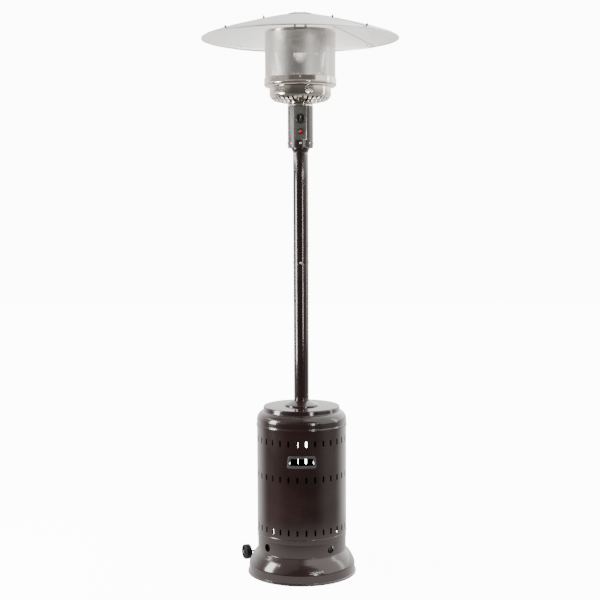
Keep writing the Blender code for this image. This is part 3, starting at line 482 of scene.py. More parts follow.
def aim(thing, at, direction):
    """Moves the mesh itself from the upright axis to a point and a direction."""
    thing.data.transform(Matrix.Translation(Vector(at)) @ facing(direction))
    thing.data.update()
    return thing


black_metal = powder_coat("black_metal", colour(20, 20, 21), colour(28, 28, 29), 0.38)
axle_way = Vector((-math.cos(math.radians(25.0)), -math.sin(math.radians(25.0)), 0.0))
wheel_out = Vector((-math.sin(math.radians(25.0)), math.cos(math.radians(25.0)), 0.0))
axle_middle = wheel_out * 236.5 * mm + Vector((0.0, 0.0, 36.5 * mm))
bracket_path = [(-60, 245.4, 0), (-60, 224.6, 4), (60, 224.6, 4), (60, 245.4, 0)]
to_base = ((axle_way.x, 0.0, wheel_out.x, 0.0), (axle_way.y, 0.0, wheel_out.y, 0.0), (0.0, 1.0, 0.0, 35.5 * mm))
plan_to_base = Matrix((*to_base, (0.0, 0.0, 0.0, 1.0)))
wheel_bracket = band("wheel_bracket_bent", bracket_path[::-1], 34.0 * mm, 3.0 * mm, plan_to_base)
fit(wheel_bracket, "stand", black_metal, "wheel_bracket")

axle_line = profile((0, 175, 0), (4, 175, 1), (4, -175, 1), (0, -175, 0))
wheel_axle = aim(lathe("wheel_axle_rod", axle_line, 32, closed=False), axle_middle, axle_way)
fit(wheel_axle, "stand", black_metal, "wheel_axle")


def hex_nut(name, across, tall, bore):
    """A hexagon nut standing on the upright axis, with chamfered corners."""
    shape = bmesh.new()
    corner = across / math.sqrt(3.0)
    steps = 48
    rings = []
    for kind, height in (("bore", 0.0), ("face", 0.0), ("hex", 0.12), ("hex", 0.88), ("face", 1.0), ("bore", 1.0)):
        ring = []
        for k in range(steps):
            angle = 2.0 * math.pi * k / steps
            side = (angle + math.pi / 6.0) % (math.pi / 3.0) - math.pi / 6.0
            flat = across / 2.0 / math.cos(side)
            radius = {"bore": bore, "face": min(flat, across / 2.0 * 0.97), "hex": min(flat, corner * 0.985)}[kind]
            ring.append(shape.verts.new((radius * math.cos(angle), radius * math.sin(angle), height * tall)))
        rings.append(ring)
    skin(shape, rings + rings[:1])
    return from_shape(name, shape, 20.0)


for side, word in ((1.0, "left"), (-1.0, "right")):
    nut = hex_nut(f"axle_nut_hex_{word}", 12.0 * mm, 6.0 * mm, 4.05 * mm)
    aim(nut, axle_middle + axle_way * side * 166.5 * mm, axle_way * side)
    fit(nut, "stand", zinc_plate, f"axle_nut_{word}")


# Wheels. Two moulded black tyres with a thin web and a hub, which turn freely on the axle.
# Shallow tread blocks repeat round each tyre.

wheel_rubber = moulded("wheel_rubber", colour(25, 25, 26), 0.62, 0.0014, 0.00010)
for side, word in ((1.0, "left"), (-1.0, "right")):
    tyre_line = profile(
        (4.3, 11, 0), (11, 11, 1.2), (11.4, 6, 2), (24, 6, 2), (24.6, 13, 1), (26, 14, 1), (30, 13.6, 2),
        (32.4, 9.5, 3), (32.5, 0, 0),
    )
    whole_line = tyre_line + [(r, -h) for r, h in tyre_line[-2::-1]]
    tyre = lathe(f"wheel_{word}_moulded", whole_line, 96)
    groove = plug("tread_groove", upright(0.9, -16, 16), -36.0 * mm, -31.3 * mm)
    grow(tyre, cut_around, wheel_rubber, Tool=groove, Count=36, First=0.05)
    lightening = plug("web_hole", circle(4.2 * mm, 20), -12.0 * mm, 12.0 * mm)
    lightening.data.transform(Matrix.Translation((0.0, -17.6 * mm, 0.0)) @ Matrix.Rotation(math.pi / 2.0, 4, "X"))
    grow(tyre, cut_around, wheel_rubber, Tool=lightening, Count=5, First=0.3)
    aim(tyre, axle_middle + axle_way * side * 155.0 * mm, axle_way)
    fit(tyre, f"wheel_{word}", wheel_rubber, f"wheel_{word}_tyre")


# Housing shell. A rolled and seam-welded steel sheet round the gas bottle, which lifts up the pole to reach it.
# Three rows of vertical vent slots and two handle openings are punched through it before it is powder-coated.

shell_line = profile(
    (188, 623, 0), (188, 180, 0.8), (189, 178.4, 0.8), (188.8, 176.2, 0.8), (185.6, 174.4, 1), (187.7, 160, 1.5),
    (187.8, 157.2, 0.3), (186.8, 157.2, 0.3), (186.7, 160, 1), (184.4, 174.8, 1), (186.8, 179, 0.8), (186.8, 623, 0),
    steps=4,
)
housing_shell = lathe("housing_shell_rolled", shell_line, 192)


def pill(half_width, half_height, middle, steps=8):
    """The outline of an upright slot with round ends."""
    outline = []
    for end in (1.0, -1.0):
        for k in range(steps + 1):
            angle = math.pi * k / steps + (0.0 if end > 0 else math.pi)
            centre = middle + end * (half_height - half_width)
            outline.append((half_width * math.cos(angle), centre + half_width * math.sin(angle)))
    return outline


def merged(name, pieces):
    """Several loose closed skins kept as one tool."""
    shape = bmesh.new()
    for piece in pieces:
        shape.from_mesh(piece.data)
        bpy.data.objects.remove(piece)
    return loose(name, shape)


slot_rows = (575.5 * mm, 427.3 * mm, 207.8 * mm)
row_slots = [plug("slot", pill(4.0 * mm, 13.0 * mm, z), -0.20, -0.17) for z in slot_rows]
slot_column = merged("slot_column", row_slots)
grow(housing_shell, cut_around, bronze_paint, Tool=slot_column, Count=32, First=math.radians(5.625))


def handle_outline(grow_by, corner, steps=6):
    """The rounded trapezium of the handle opening, wider at its lower edge, grown by a border."""
    half = 15.0 * mm + grow_by
    low = 50.5 * mm + grow_by
    high = 45.5 * mm + grow_by
    corners = [Vector((-low, -half)), Vector((low, -half)), Vector((high, half)), Vector((-high, half))]
    outline = []
    for i, here in enumerate(corners):
        before = (corners[i - 1] - here).normalized()
        after = (corners[(i + 1) % 4] - here).normalized()
        for k in range(steps + 1):
            t = k / steps
            point = here + before * corner * (1 - t) ** 2 + after * corner * t ** 2
            outline.append((point.x, 502.3 * mm + point.y))
    return outline


handle_tool = plug("handle_hole", handle_outline(4.6 * mm, 6.0 * mm), -0.22, -0.14)
grow(housing_shell, cut_around, bronze_paint, Tool=handle_tool, Count=2, First=0.0)


def true_round(thing):
    """Gives the walls of a rolled sheet the exact normals of a cylinder, so that cuts don't dent the shading."""
    mesh = thing.data
    normals = []
    for face in mesh.polygons:
        flat = face.normal
        for corner in face.vertices:
            point = mesh.vertices[corner].co
            out = Vector((point.x, point.y, 0.0)).normalized()
            facing_out = flat.dot(out)
            if abs(facing_out) > 0.97:
                normals.append(out if facing_out > 0.0 else -out)
            else:
                normals.append(flat.copy())
    mesh.normals_split_custom_set(normals)


true_round(housing_shell)
fit(housing_shell, "tank_housing", bronze_paint, "housing_shell")


# Handle trims. Injection-moulded dark grey frames that clip into the two handle openings, front and rear.
# Each has a proud rounded border outside and a sleeve through the sheet, and is used to lift the housing.

trim_plastic = moulded("trim_plastic", colour(66, 65, 66), 0.42, 0.0008)
for side, word in ((-1.0, "front"), (1.0, "rear")):
    levels = [
        (10.5, 188.3), (10.5, 189.6), (9.9, 190.3), (8.8, 190.5), (1.6, 190.5), (0.5, 190.2), (0, 189.4), (0, 182.4),
        (0.6, 182), (4, 182), (4.2, 182.4), (4.2, 188.3),
    ]
    shape = bmesh.new()
    rings = []
    for border, radius in levels:
        ring = []
        outline = handle_outline(border * mm, (4.0 + border * 0.6) * mm)
        dense = []
        for i, (x, z) in enumerate(outline):
            nx, nz = outline[(i + 1) % len(outline)]
            cuts = 16 if abs(nx - x) > 0.03 else 1
            dense += [(x + (nx - x) * k / cuts, z + (nz - z) * k / cuts) for k in range(cuts)]
        for x, z in dense:
            ring.append(shape.verts.new((-side * x, side * math.sqrt((radius * mm) ** 2 - x ** 2), z)))
        rings.append(ring)
    skin(shape, rings + rings[:1])
    trim = from_shape(f"handle_trim_moulded_{word}", shape, 50.0)
    fit(trim, "tank_housing", trim_plastic, f"handle_trim_{word}")


# Housing cap. A deep-drawn steel lid with a rounded shoulder, a raised round crown and a bead at its lower edge.
# Its skirt fits inside the shell, and the whole lid rises with it. Powder-coated bronze.

cap_line = profile(
    (34.5, 707, 0), (158.3, 707, 3), (160.2, 703, 2.5), (161.8, 686.5, 3), (169.6, 684.2, 4),
    (181.6, 674, 9), (188.2, 659.5, 9), (188.4, 636, 2), (190.2, 631.6, 1.6), (190.2, 623.4, 0.4),
    (186.6, 623.4, 0.4), (186.5, 609, 0),
)
housing_cap = lathe("housing_cap_drawn", cap_line + set_in(cap_line, 1.0 * mm), 192)
fit(housing_cap, "tank_housing", bronze_paint, "housing_cap")


# Pole escutcheon. A shallow spun steel cone that covers the hole where the pole goes through the cap.
# It slides on the pole, rests on the cap, and is coated bronze.

escutcheon_line = profile(
    (32.6, 728, 0), (35.5, 727.8, 2), (69.5, 713.2, 3), (71.4, 711, 1.5), (71.5, 707.3, 0),
)
pole_escutcheon = lathe("pole_escutcheon_spun", escutcheon_line + set_in(escutcheon_line, 1.1 * mm), 128)
fit(pole_escutcheon, "tank_housing", bronze_paint, "pole_escutcheon")


# Pole. Two bronze-coated steel tubes that butt together over an inner zinc-plated sleeve.
# The lower tube stands over the socket and the upper tube carries the control head.

pole_radius = 31.5 * mm
for word, low, high in (("lower", 682.5, 1301.2), ("upper", 1301.5, 1764.5)):
    tube_line = profile((30, high, 0), (31.5, high, 0.5), (31.5, low, 0.5), (30, low, 0), steps=4)
    tube = lathe(f"{word}_pole_tube", tube_line, 96)
    fit(tube, "stand", bronze_paint, f"{word}_pole")
repaint("pole_coupler", zinc_plate)


# Pole and head screws. Domed cross-recess screws hold the pole joint, the head to the pole and the control housing.
# Smaller ones hold the upper bowl ring. All are pressed from steel and plated bright.

screw_steel = metal("screw_steel", (0.80, 0.79, 0.77, 1.0), 0.42, (1.0, 1.0, 1.0), 0.002)
set_around = Recipe("set_around", Tool="Object", Count="Int", First="Float", Look="Material")
set_inputs = {"Geometry": ring_of(set_around)}
set_around.end(set_around.node("GeometryNodeRealizeInstances", {}, set_inputs))


def screw_head(name, radius, tall, shank, at):
    """A domed screw head with a cross recess, its axis along -Y at a point."""
    dome = [(0.0, tall, 0.0), (radius * 0.55, tall * 0.86, radius * 0.3), (radius * 0.93, tall * 0.32, radius * 0.2)]
    stem = [(radius, 0.0, 0.0), (shank, 0.0, 0.0), (shank, -4.0 * mm, 0.0), (0.0, -4.0 * mm, 0.0)]
    line = rounded(dome + stem, 4)
    head = lathe(name, line, 24, closed=False)
    wing = radius * 0.46
    thin = radius * 0.10
    arm = [(-wing, tall * 0.35), (wing, tall * 0.35), (wing, tall * 1.5), (-wing, tall * 1.5)]
    for turn in (0.0, math.pi / 2.0):
        grow(head, cut_around, screw_steel, Tool=plug("cross_arm", arm, -thin, thin), Count=1, First=turn)
    return aim(head, at, (0.0, -1.0, 0.0))


def screws(name, count, first, radius, height, size, shank, *nodes):
    tool = screw_head("screw_tool", size, size * 0.52, shank, (0.0, -radius, height))
    thing = loose(name)
    grow(thing, set_around, screw_steel, 30.0, Tool=tool, Count=count, First=math.radians(first))
    return fit(thing, "stand", screw_steel, *nodes)


joint_screws = [f"joint_screw_{word}" for word in ("front", "right", "back", "left")]
screws("joint_screw_heads", 4, 0.0, pole_radius + 0.1 * mm, 1307.0 * mm, 4.6 * mm, 2.0 * mm, *joint_screws)
screws("pole_top_screws", 4, 45.0, pole_radius - 0.1 * mm, 1756.0 * mm, 3.8 * mm, 1.5 * mm)


# Head adapter. A short spun cone that plugs into the pole and widens to carry the control housing.
# It is coated bronze with the pole.

adapter_line = profile(
    (27.7, 1779.7, 0), (38, 1779.7, 1), (38, 1776.8, 1.5), (32.3, 1764.8, 0.6), (29.7, 1764.8, 0.2),
    (29.7, 1719.5, 0), (27.7, 1719.5, 0), steps=5,
)
head_adapter = lathe("head_adapter_spun", adapter_line, 96)
fit(head_adapter, "stand", bronze_paint, "head_adapter")


# Control housing. A drawn steel can round the gas valve, with its front cut away flat for the control panel.
# It is powder-coated bronze and held by small screws round its lower edge.

can_line = profile(
    (52.7, 1950.4, 0), (52.7, 1782.4, 1.5), (50.2, 1780.1, 1.5), (28.4, 1780.1, 0), (28.4, 1781.3, 0),
    (49.8, 1781.4, 1.5), (51.5, 1783, 1), (51.5, 1950.4, 0), steps=5,
)
satin_bronze = powder_coat("satin_bronze", colour(38, 23, 22), colour(46, 29, 27), 0.30, 0.18)
control_housing = lathe("control_housing_can", can_line, 144)
front_cut = plug("panel_window", upright(60, 1810.7, 1960), -0.09, -45.74 * mm)
grow(control_housing, cut_around, satin_bronze, Tool=front_cut, Count=1, First=0.0)
true_round(control_housing)
fit(control_housing, "stand", satin_bronze, "control_housing", slot="bronze_paint")
screws("control_housing_screws", 8, 0.0, 52.6 * mm, 1799.6 * mm, 4.4 * mm, 1.5 * mm)


# Control panel. A flat painted steel plate over the cut-away front, grey with a bare bright edge all round.
# It is pierced for the valve stem and the igniter, and a dimple above the knob marks its off position.

panel_grey = powder_coat("panel_grey", colour(84, 84, 78), colour(92, 92, 86), 0.38)
plate_edge = metal("panel_edge_steel", (0.60, 0.59, 0.57, 1.0), 0.30, (1.0, 1.0, 0.05), 0.003)
panel_low, panel_high = 1811.2 * mm, 1949.3 * mm


def plate(name, half_width, low, high, corner, back, front, ease):
    """An upright plate facing -Y with rounded corners and an eased front edge."""
    shape = bmesh.new()
    rings = []
    for inset, y in ((0.0, back), (0.0, front + ease), (ease * 0.3, front + ease * 0.3), (ease, front)):
        ring = []
        w, l, h, c = half_width - inset, low + inset, high - inset, max(corner - inset, 0.2 * mm)
        middles = ((w - c, h - c), (c - w, h - c), (c - w, l + c), (w - c, l + c))
        for (cx, cz), start in zip(middles, (0.0, 90.0, 180.0, 270.0)):
            for k in range(7):
                angle = math.radians(start + 15.0 * k)
                ring.append(shape.verts.new((cx + c * math.cos(angle), y, cz + c * math.sin(angle))))
        rings.append(ring)
    skin(shape, rings, caps=True)
    return from_shape(name, shape)


def bored(thing, radius, height, look, steps=40):
    """Drills a hole along Y at a height on the middle line."""
    bit = plug("bit", circle(radius, steps, (0.0, height)), -0.08, -0.03)
    return grow(thing, cut_around, look, Tool=bit, Count=1, First=0.0)


panel_rim = plate("control_panel_edge", 25.3 * mm, panel_low, panel_high, 2.5 * mm, -46.1 * mm, -47.1 * mm, 0.3 * mm)
bored(bored(panel_rim, 4.8 * mm, 1898.0 * mm, plate_edge), 9.3 * mm, 1847.5 * mm, plate_edge)
fit(panel_rim, "stand", plate_edge, "control_panel", slot="panel_grey")
low, high = panel_low + 2.4 * mm, panel_high - 2.0 * mm
panel_face = plate("control_panel_face", 22.6 * mm, low, high, 1.5 * mm, -47.0 * mm, -47.4 * mm, 0.15 * mm)
bored(bored(panel_face, 4.8 * mm, 1898.0 * mm, panel_grey), 9.3 * mm, 1847.5 * mm, panel_grey)
dimple = lathe("mark", profile((0, 0, 0), (1.4, 0, 0), (1.4, 3, 0), (0, 3, 0)), 20, closed=False)
aim(dimple, (0.0, -47.0 * mm, 1929.0 * mm), (0.0, -1.0, 0.0))
grow(panel_face, cut_around, panel_grey, Tool=dimple, Count=1, First=0.0)
fit(panel_face, "stand", panel_grey)


# Gas valve. A cast brass body behind the panel with a steel stem, which turns in it and is pushed in to light up.
# The gas hose leaves from its back.

valve_brass = metal("valve_brass", (0.60, 0.43, 0.19, 1.0), 0.36, (1.0, 1.0, 1.0), 0.003)
repaint("gas_valve", valve_brass)
stem_line = profile((0, 12, 0), (4, 12, 0.6), (4, -26, 0.6), (0, -26, 0))
valve_stem = lathe("valve_stem_rod", stem_line, 32, closed=False)
aim(valve_stem, (0.0, -52.44 * mm, 1898.0 * mm), (0.0, -1.0, 0.0))
fit(valve_stem, "valve_stem", screw_steel, "valve_stem")


# Control knob. A moulded glossy black knob with a skirt, a tapered barrel and a tall grip bar across its face.
# Fine flutes round the barrel repeat, and a pale line on the bar shows the setting.

black_plastic = moulded("black_plastic", colour(16, 17, 18), 0.30, 0.0010, 0.00002, 0.08)
knob_line = profile(
    (0, 15, 0), (15.6, 15.6, 2), (18, 14, 1.5), (19, 4.4, 1), (19.6, 3.4, 1), (20, 2.4, 0.6), (20, 0, 0.4),
    (4.4, 0, 0), (4.4, 12.6, 0), (0, 12.6, 0),
)
knob = lathe("control_knob_moulded", knob_line, 96, closed=False)
flute_line = profile((0, 30, 0), (1.1, 30, 0), (1.1, 5.2, 0), (0, 5.2, 0))
flute = lathe("flute", flute_line, 10, False, (0.0, 19.5 * mm))
grow(knob, cut_around, black_plastic, Tool=flute, Count=30, First=0.0)
bar_line = profile((-15.6, 6, 0), (-13, 22.5, 0), (-11, 23.8, 0), (11, 23.8, 0), (13, 22.5, 0), (15.6, 6, 0))
shape = bmesh.new()
rings = []
for across, shrink in ((-4.6, 1.0), (-3.9, 0.35), (-2.9, 0.0), (2.9, 0.0), (3.9, 0.35), (4.6, 1.0)):
    ring = []
    for along, height in bar_line:
        wide = across * (1.35 if height < 10.0 * mm else 0.9) * mm
        ring.append(shape.verts.new((wide, along * (1.0 - shrink * 0.04), height - shrink * 1.6 * mm)))
    rings.append(ring)
skin(shape, rings, caps=True)
grip_bar = from_shape("control_knob_bar", shape, 40.0)
pale_line = moulded("pointer_white", colour(214, 214, 210), 0.45)
pointer = plug("control_knob_pointer", upright(0.55, 1, 10.8), -23.9 * mm, -23.2 * mm)
pointer.data.transform(Matrix.Rotation(-math.pi / 2.0, 4, "X"))
for piece, look in ((knob, black_plastic), (grip_bar, black_plastic), (pointer, pale_line)):
    aim(piece, (0.0, -52.44 * mm, 1898.0 * mm), (0.0, -1.0, 0.0))
    fit(piece, "control_knob", look, *(["control_knob"] if piece is knob else []), slot="black_plastic")


# Igniter. A red push button slides in a moulded black bezel screwed through the panel to the piezo unit behind.
# Pressing the button makes the spark.

panel_front = -47.44 * mm
bezel_line = profile(
    (7.1, 5.6, 0), (8.6, 6, 0.8), (9.6, 5.6, 0.8), (11.8, 2.4, 1), (12, 0.4, 0.2), (9, 0.4, 0), (9, -8, 0),
    (7.1, -8, 0),
)
bezel = aim(lathe("igniter_bezel_ring", bezel_line, 64), (0.0, panel_front, 1847.5 * mm), (0.0, -1.0, 0.0))
fit(bezel, "stand", black_plastic, "igniter_bezel")
button_red = moulded("button_red", colour(222, 12, 34), 0.22, 0.0012, 0.00002, 0.06)
button_line = profile((0, 13.6, 0), (4.6, 13.9, 1), (6.4, 12.8, 1.4), (6.5, -22, 0.3), (0, -22, 0))
button = aim(lathe("igniter_button_cap", button_line, 48, False), (0.0, panel_front, 1847.5 * mm), (0.0, -1.0, 0.0))
fit(button, "igniter_button", button_red, "igniter_button")
repaint("piezo_igniter", black_plastic)


# Bowl neck. A short polished stainless ring on top of the control housing, which the burner bowl sits on.
# Spun from sheet, with a rounded shoulder.

steel_shade = (0.70, 0.645, 0.57, 1.0)
polished_steel = metal("polished_steel", steel_shade, 0.085, (1.0, 1.0, 0.05), 0.06, 0.02, 0.000002)
neck_line = profile((42.5, 1961.4, 0), (49.5, 1961.4, 2), (51.5, 1958.5, 2), (51.5, 1950.8, 0))
bowl_neck = lathe("bowl_neck_spun", neck_line + set_in(neck_line, 1.2 * mm), 128)
fit(bowl_neck, "stand", polished_steel, "bowl_neck")


# Burner bowl. A spun and polished stainless bowl with an upright wall over a shallow cone.
# Radial air slots are punched evenly round the cone.

bowl_line = profile(
    (127, 2026.7, 0), (127, 1996, 3), (124.6, 1990.6, 4), (118.8, 1982, 7), (108.4, 1973.4, 10),
    (56.5, 1961.8, 3), (39.5, 1961.8, 0),
)
burner_bowl = lathe("burner_bowl_spun", bowl_line + set_in(bowl_line, 1.2 * mm), 180)
air_slot = plug("air_slot", upright(3.9, 1950, 1990), -121.0 * mm, -75.0 * mm)
grow(burner_bowl, cut_around, polished_steel, Tool=air_slot, Count=36, First=math.radians(5.0))
fit(burner_bowl, "stand", polished_steel, "burner_bowl")
# Painted shade: the bowl's inward faces get a near-black steel, so its inside reads as shade and the air slots look
# dark.
burner_bowl.data.materials.append(metal("bowl_inside_painted_shade", (0.035, 0.03, 0.026, 1.0), 0.55, (1.0, 1.0, 1.0), 0.006))
for face in burner_bowl.data.polygons:
    outward = Vector((face.center.x, face.center.y, 0.0)).normalized()
    face.material_index = 0 if face.normal.dot(outward) > 0.12 or face.normal.z < -0.3 else 1


# Upper bowl ring. A polished stainless ring with a rolled bead, screwed to the bowl's wall.
# It flares out from the bowl and holds the foot of the screen.

ring_line = profile(
    (146.4, 2066.7, 0), (148.4, 2065.6, 1), (148.5, 2045.6, 1.5), (150, 2042.4, 1.6), (150, 2040.2, 1.6),
    (148.4, 2037, 2), (145.5, 2031.4, 4), (132, 2027.2, 3), (115, 2027.2, 0),
)
upper_ring = lathe("upper_bowl_ring_spun", ring_line + set_in(ring_line, 1.1 * mm), 192)
fit(upper_ring, "stand", polished_steel, "upper_bowl_ring")
screws("upper_ring_screws", 4, 46.0, 148.4 * mm, 2058.5 * mm, 3.0 * mm, 1.5 * mm)
screws("side_ring_screws", 4, 0.0, 148.4 * mm, 2058.5 * mm, 3.0 * mm, 1.5 * mm)


# Emitter screen. A perforated stainless sheet rolled into a cylinder, which glows when the burner heats it.
# The holes are staggered, with thin walls between them, and a lap seam runs up the sheet at the front right.

screen_steel = metal("screen_steel", (0.66, 0.64, 0.61, 1.0), 0.36, (1.0, 1.0, 0.02), 0.02, 0.06, 0.00001)
screen_radius = 145.0 * mm
columns = 162
rows = 29
column_step = 2.0 * math.pi * screen_radius / columns
row_step = 191.0 * mm / (rows - 0.5)
screen_wall = 0.8 * mm
shape = bmesh.new()
cell_rings = []
for share, depth in ((1.0, 0.0), (0.36, 0.0), (0.36, screen_wall), (1.0, screen_wall)):
    ring = []
    for k in range(6):
        angle = math.pi / 3.0 * k
        across = column_step / 1.5 * math.cos(angle) * share
        up = row_step / math.sqrt(3.0) * math.sin(angle) * share
        ring.append(shape.verts.new((across, depth, up)))
    cell_rings.append(ring)
skin(shape, cell_rings)
bmesh.ops.recalc_face_normals(shape, faces=shape.faces)
if shape.faces[:][0].normal.y > 0.0:
    bmesh.ops.reverse_faces(shape, faces=shape.faces)
screen_cell = loose("screen_cell", shape)

sizes = {"ColumnStep": "Float", "RowStep": "Float", "Radius": "Float", "Bottom": "Float"}
perforate = Recipe("perforate", Cell="Object", Columns="Int", Rows="Int", Look="Material", **sizes)
total = perforate.given("Columns") * perforate.given("Rows")
points = perforate.node("GeometryNodeMeshLine", {"mode": "OFFSET"}, {"Count": total, "Offset": (0.0, 0.0, 0.0)})
index = perforate.node("GeometryNodeInputIndex")
column = index.modulo(perforate.given("Columns"))
row = (index - column) / perforate.given("Columns")
stagger = column.modulo(2.0) * 0.5
across = column * perforate.given("ColumnStep")
up = (row + stagger + 0.25) * perforate.given("RowStep")
spot = perforate.node("ShaderNodeCombineXYZ", {}, {"X": across, "Z": up})
laid = perforate.node("GeometryNodeSetPosition", {}, {"Geometry": points, "Position": spot})
cell = perforate.node("GeometryNodeObjectInfo", {"transform_space": "ORIGINAL"}, {0: perforate.given("Cell")}, 4)
copies = perforate.node("GeometryNodeInstanceOnPoints", {}, {"Points": laid, "Instance": cell})
flat = perforate.node("GeometryNodeRealizeInstances", {}, {"Geometry": copies})
joined = perforate.node("GeometryNodeMergeByDistance", {}, {"Geometry": flat, "Distance": 0.0001})
where = {"Vector": perforate.node("GeometryNodeInputPosition")}
around = perforate.node("ShaderNodeSeparateXYZ", {}, where, "X") / perforate.given("Radius")
depth = perforate.given("Radius") - perforate.node("ShaderNodeSeparateXYZ", {}, where, "Y")
high = perforate.node("ShaderNodeSeparateXYZ", {}, where, "Z") + perforate.given("Bottom")
rolled_x = depth * around._maths("SINE", around)
rolled_y = depth * around._maths("COSINE", around) * -1.0
rolled = perforate.node("ShaderNodeCombineXYZ", {}, {"X": rolled_x, "Y": rolled_y, "Z": high})
bent = perforate.node("GeometryNodeSetPosition", {}, {"Geometry": joined, "Position": rolled})
perforate.end(perforate.node("GeometryNodeMergeByDistance", {}, {"Geometry": bent, "Distance": 0.0001}))
emitter_screen = loose("emitter_screen_perforated")
sizes = {"ColumnStep": column_step, "RowStep": row_step, "Radius": screen_radius, "Bottom": 2061.0 * mm}
grow(emitter_screen, perforate, screen_steel, Cell=screen_cell, Columns=columns, Rows=rows, **sizes)
fit(emitter_screen, "stand", screen_steel, "emitter_screen")
seam_strip = plug("screen_lap_strip", upright(4, 2062, 2250), -145.5 * mm, -145.1 * mm)
seam_strip.data.transform(Matrix.Rotation(math.radians(34.0), 4, "Z"))
fit(seam_strip, "stand", screen_steel)


# Screen band and lid. A rolled stainless hoop grips the screen's top edge over a flat pressed lid.
# Small rivets through the hoop repeat round it.

band_line = profile(
    (139.2, 2254.2, 0), (145.9, 2254.2, 0.8), (146.3, 2253.4, 0.6), (146.3, 2244.2, 0.3),
    (145.6, 2243.9, 0.2), (145.5, 2253.2, 0.2), (139.2, 2253.2, 0), steps=4,
)
screen_band = lathe("screen_band_hoop", band_line, 160)
fit(screen_band, "stand", polished_steel, "screen_band")
screws("screen_band_rivets", 16, 11.25, 146.2 * mm, 2248.6 * mm, 1.7 * mm, 0.8 * mm)
repaint("screen_lid", polished_steel)


# Main burner and pilot. A turned steel burner head inside the bowl, with a zinc-plated pilot bracket beside it.
# A brass thermocouple stands in the bracket.

burner_steel = metal("burner_steel", (0.42, 0.38, 0.33, 1.0), 0.42, (1.0, 1.0, 0.05), 0.004)
burner_line = profile(
    (0, 2048.8, 0), (59, 2040.6, 6), (69.5, 2030.8, 5), (59.5, 2020.8, 5), (14, 2000.8, 6),
    (12, 1935.5, 4), (15.6, 1923.8, 1.5), (0, 1923.6, 0),
)
main_burner = lathe("main_burner_turned", burner_line, 96, closed=False)
port = plug("burner_port", circle(1.2 * mm, 8, (0.0, 2031.0 * mm)), -72.0 * mm, -62.0 * mm)
grow(main_burner, cut_around, burner_steel, Tool=port, Count=48, First=0.0)
fit(main_burner, "stand", burner_steel, "main_burner", slot="polished_steel")
repaint("pilot_bracket", zinc_plate)
repaint("thermocouple", valve_brass)


# Reflector. Four pressed aluminium panels, lapped and bolted together along radial seams into a shallow dome.
# The left and right panels lie over the front and back ones, and each has a turned-down edge.

pale_shade = (0.86, 0.85, 0.84, 1.0)
reflector_aluminium = metal("reflector_aluminium", pale_shade, 0.36, (1.0, 1.0, 0.3), 0.02, 0.10, 0.00003)
reflector_radius = 406.5 * mm
crown_height = 2324.8 * mm
dome_drop = 97.0 * mm
dome_shares = [(0.015, 0.0), (0.16, 0.04), (0.31, 0.165), (0.50, 0.36), (0.66, 0.54), (0.82, 0.725), (0.965, 0.925)]
seam_turn = math.radians(-48.4)
lap = math.radians(6.0)


def dome_line(radius_in, lift):
    """The dome's outer line from the crown to the rim and down its turned edge, smoothed through its points."""
    rs = np.array([share for share, _ in dome_shares]) * reflector_radius
    zs = np.array([drop for _, drop in dome_shares]) * dome_drop
    slopes = np.gradient(zs, rs)
    line = []
    for i in range(len(rs) - 1):
        width = rs[i + 1] - rs[i]
        for k in range(8):
            t = k / 8.0
            h00, h10 = 2 * t ** 3 - 3 * t ** 2 + 1, t ** 3 - 2 * t ** 2 + t
            h01, h11 = -2 * t ** 3 + 3 * t ** 2, t ** 3 - t ** 2
            drop = h00 * zs[i] + h10 * width * slopes[i] + h01 * zs[i + 1] + h11 * width * slopes[i + 1]
            line.append((rs[i] + width * t, crown_height - drop + lift))
    line.append((rs[-1], crown_height - zs[-1] + lift))
    edge = reflector_radius - 0.8 * mm - radius_in
    rim = crown_height - dome_drop + lift
    line += rounded([line[-1] + (0.0,), (edge, rim + 0.3 * mm, 2.0 * mm), (edge, rim - 3.9 * mm, 0.0)])[1:]
    return line


for number, word in enumerate(("front", "right", "back", "left")):
    over = number % 2 == 1
    outer = dome_line(0.0 if over else 1.5 * mm, 0.0 if over else -1.4 * mm)
    section = outer + set_in(outer, 0.9 * mm)
    first = seam_turn + number * math.pi / 2.0 - lap / 2.0
    sweep = math.pi / 2.0 + lap
    steps = 64
    shape = bmesh.new()
    rings = []
    for k in range(steps + 1):
        angle = first + sweep * k / steps
        rings.append([shape.verts.new((r * math.sin(angle), -r * math.cos(angle), z)) for r, z in section])
    skin(shape, rings)
    for ring in (rings[0], rings[-1]):
        half = len(section) // 2
        for k in range(half - 1):
            shape.faces.new((ring[k], ring[k + 1], ring[-2 - k], ring[-1 - k]))
    panel = from_shape(f"reflector_panel_pressed_{word}", shape, 40.0)
    fit(panel, "stand", reflector_aluminium, f"reflector_panel_{word}")


# Seam bolts. Eight dark machine screws stand up through the lapped seams, two to a seam, with a nut on each.
# Their domed heads show as small dots under the dome.

bolt_line = profile(
    (0, 9.4, 0), (2.8, 9.2, 0.4), (2.8, -1.6, 0), (3.6, -1.8, 0.3), (2.8, -3.6, 0.8), (0, -4, 0), steps=3,
)
dark_steel = metal("dark_screw_steel", (0.10, 0.10, 0.10, 1.0), 0.35, (1.0, 1.0, 1.0), 0.002)
for share, drop, tilt in ((0.475, 0.334, 21.0), (0.955, 0.912, 17.5)):
    bolt = lathe("bolt_tool", bolt_line, 16, closed=False)
    nut = hex_nut("nut_tool", 9.0 * mm, 4.6 * mm, 2.85 * mm)
    nut.data.transform(Matrix.Translation((0.0, 0.0, 0.6 * mm)))
    tool = merged("seam_bolt_tool", [bolt, nut])
    lean = Matrix.Rotation(math.radians(tilt), 4, "X")
    tool.data.transform(Matrix.Translation((0.0, -share * reflector_radius, crown_height - drop * dome_drop)) @ lean)
    bolts = loose("seam_bolts_inner" if share < 0.5 else "seam_bolts_outer")
    grow(bolts, set_around, dark_steel, Tool=tool, Count=4, First=seam_turn)
    fit(bolts, "stand", dark_steel, slot="screw_steel")


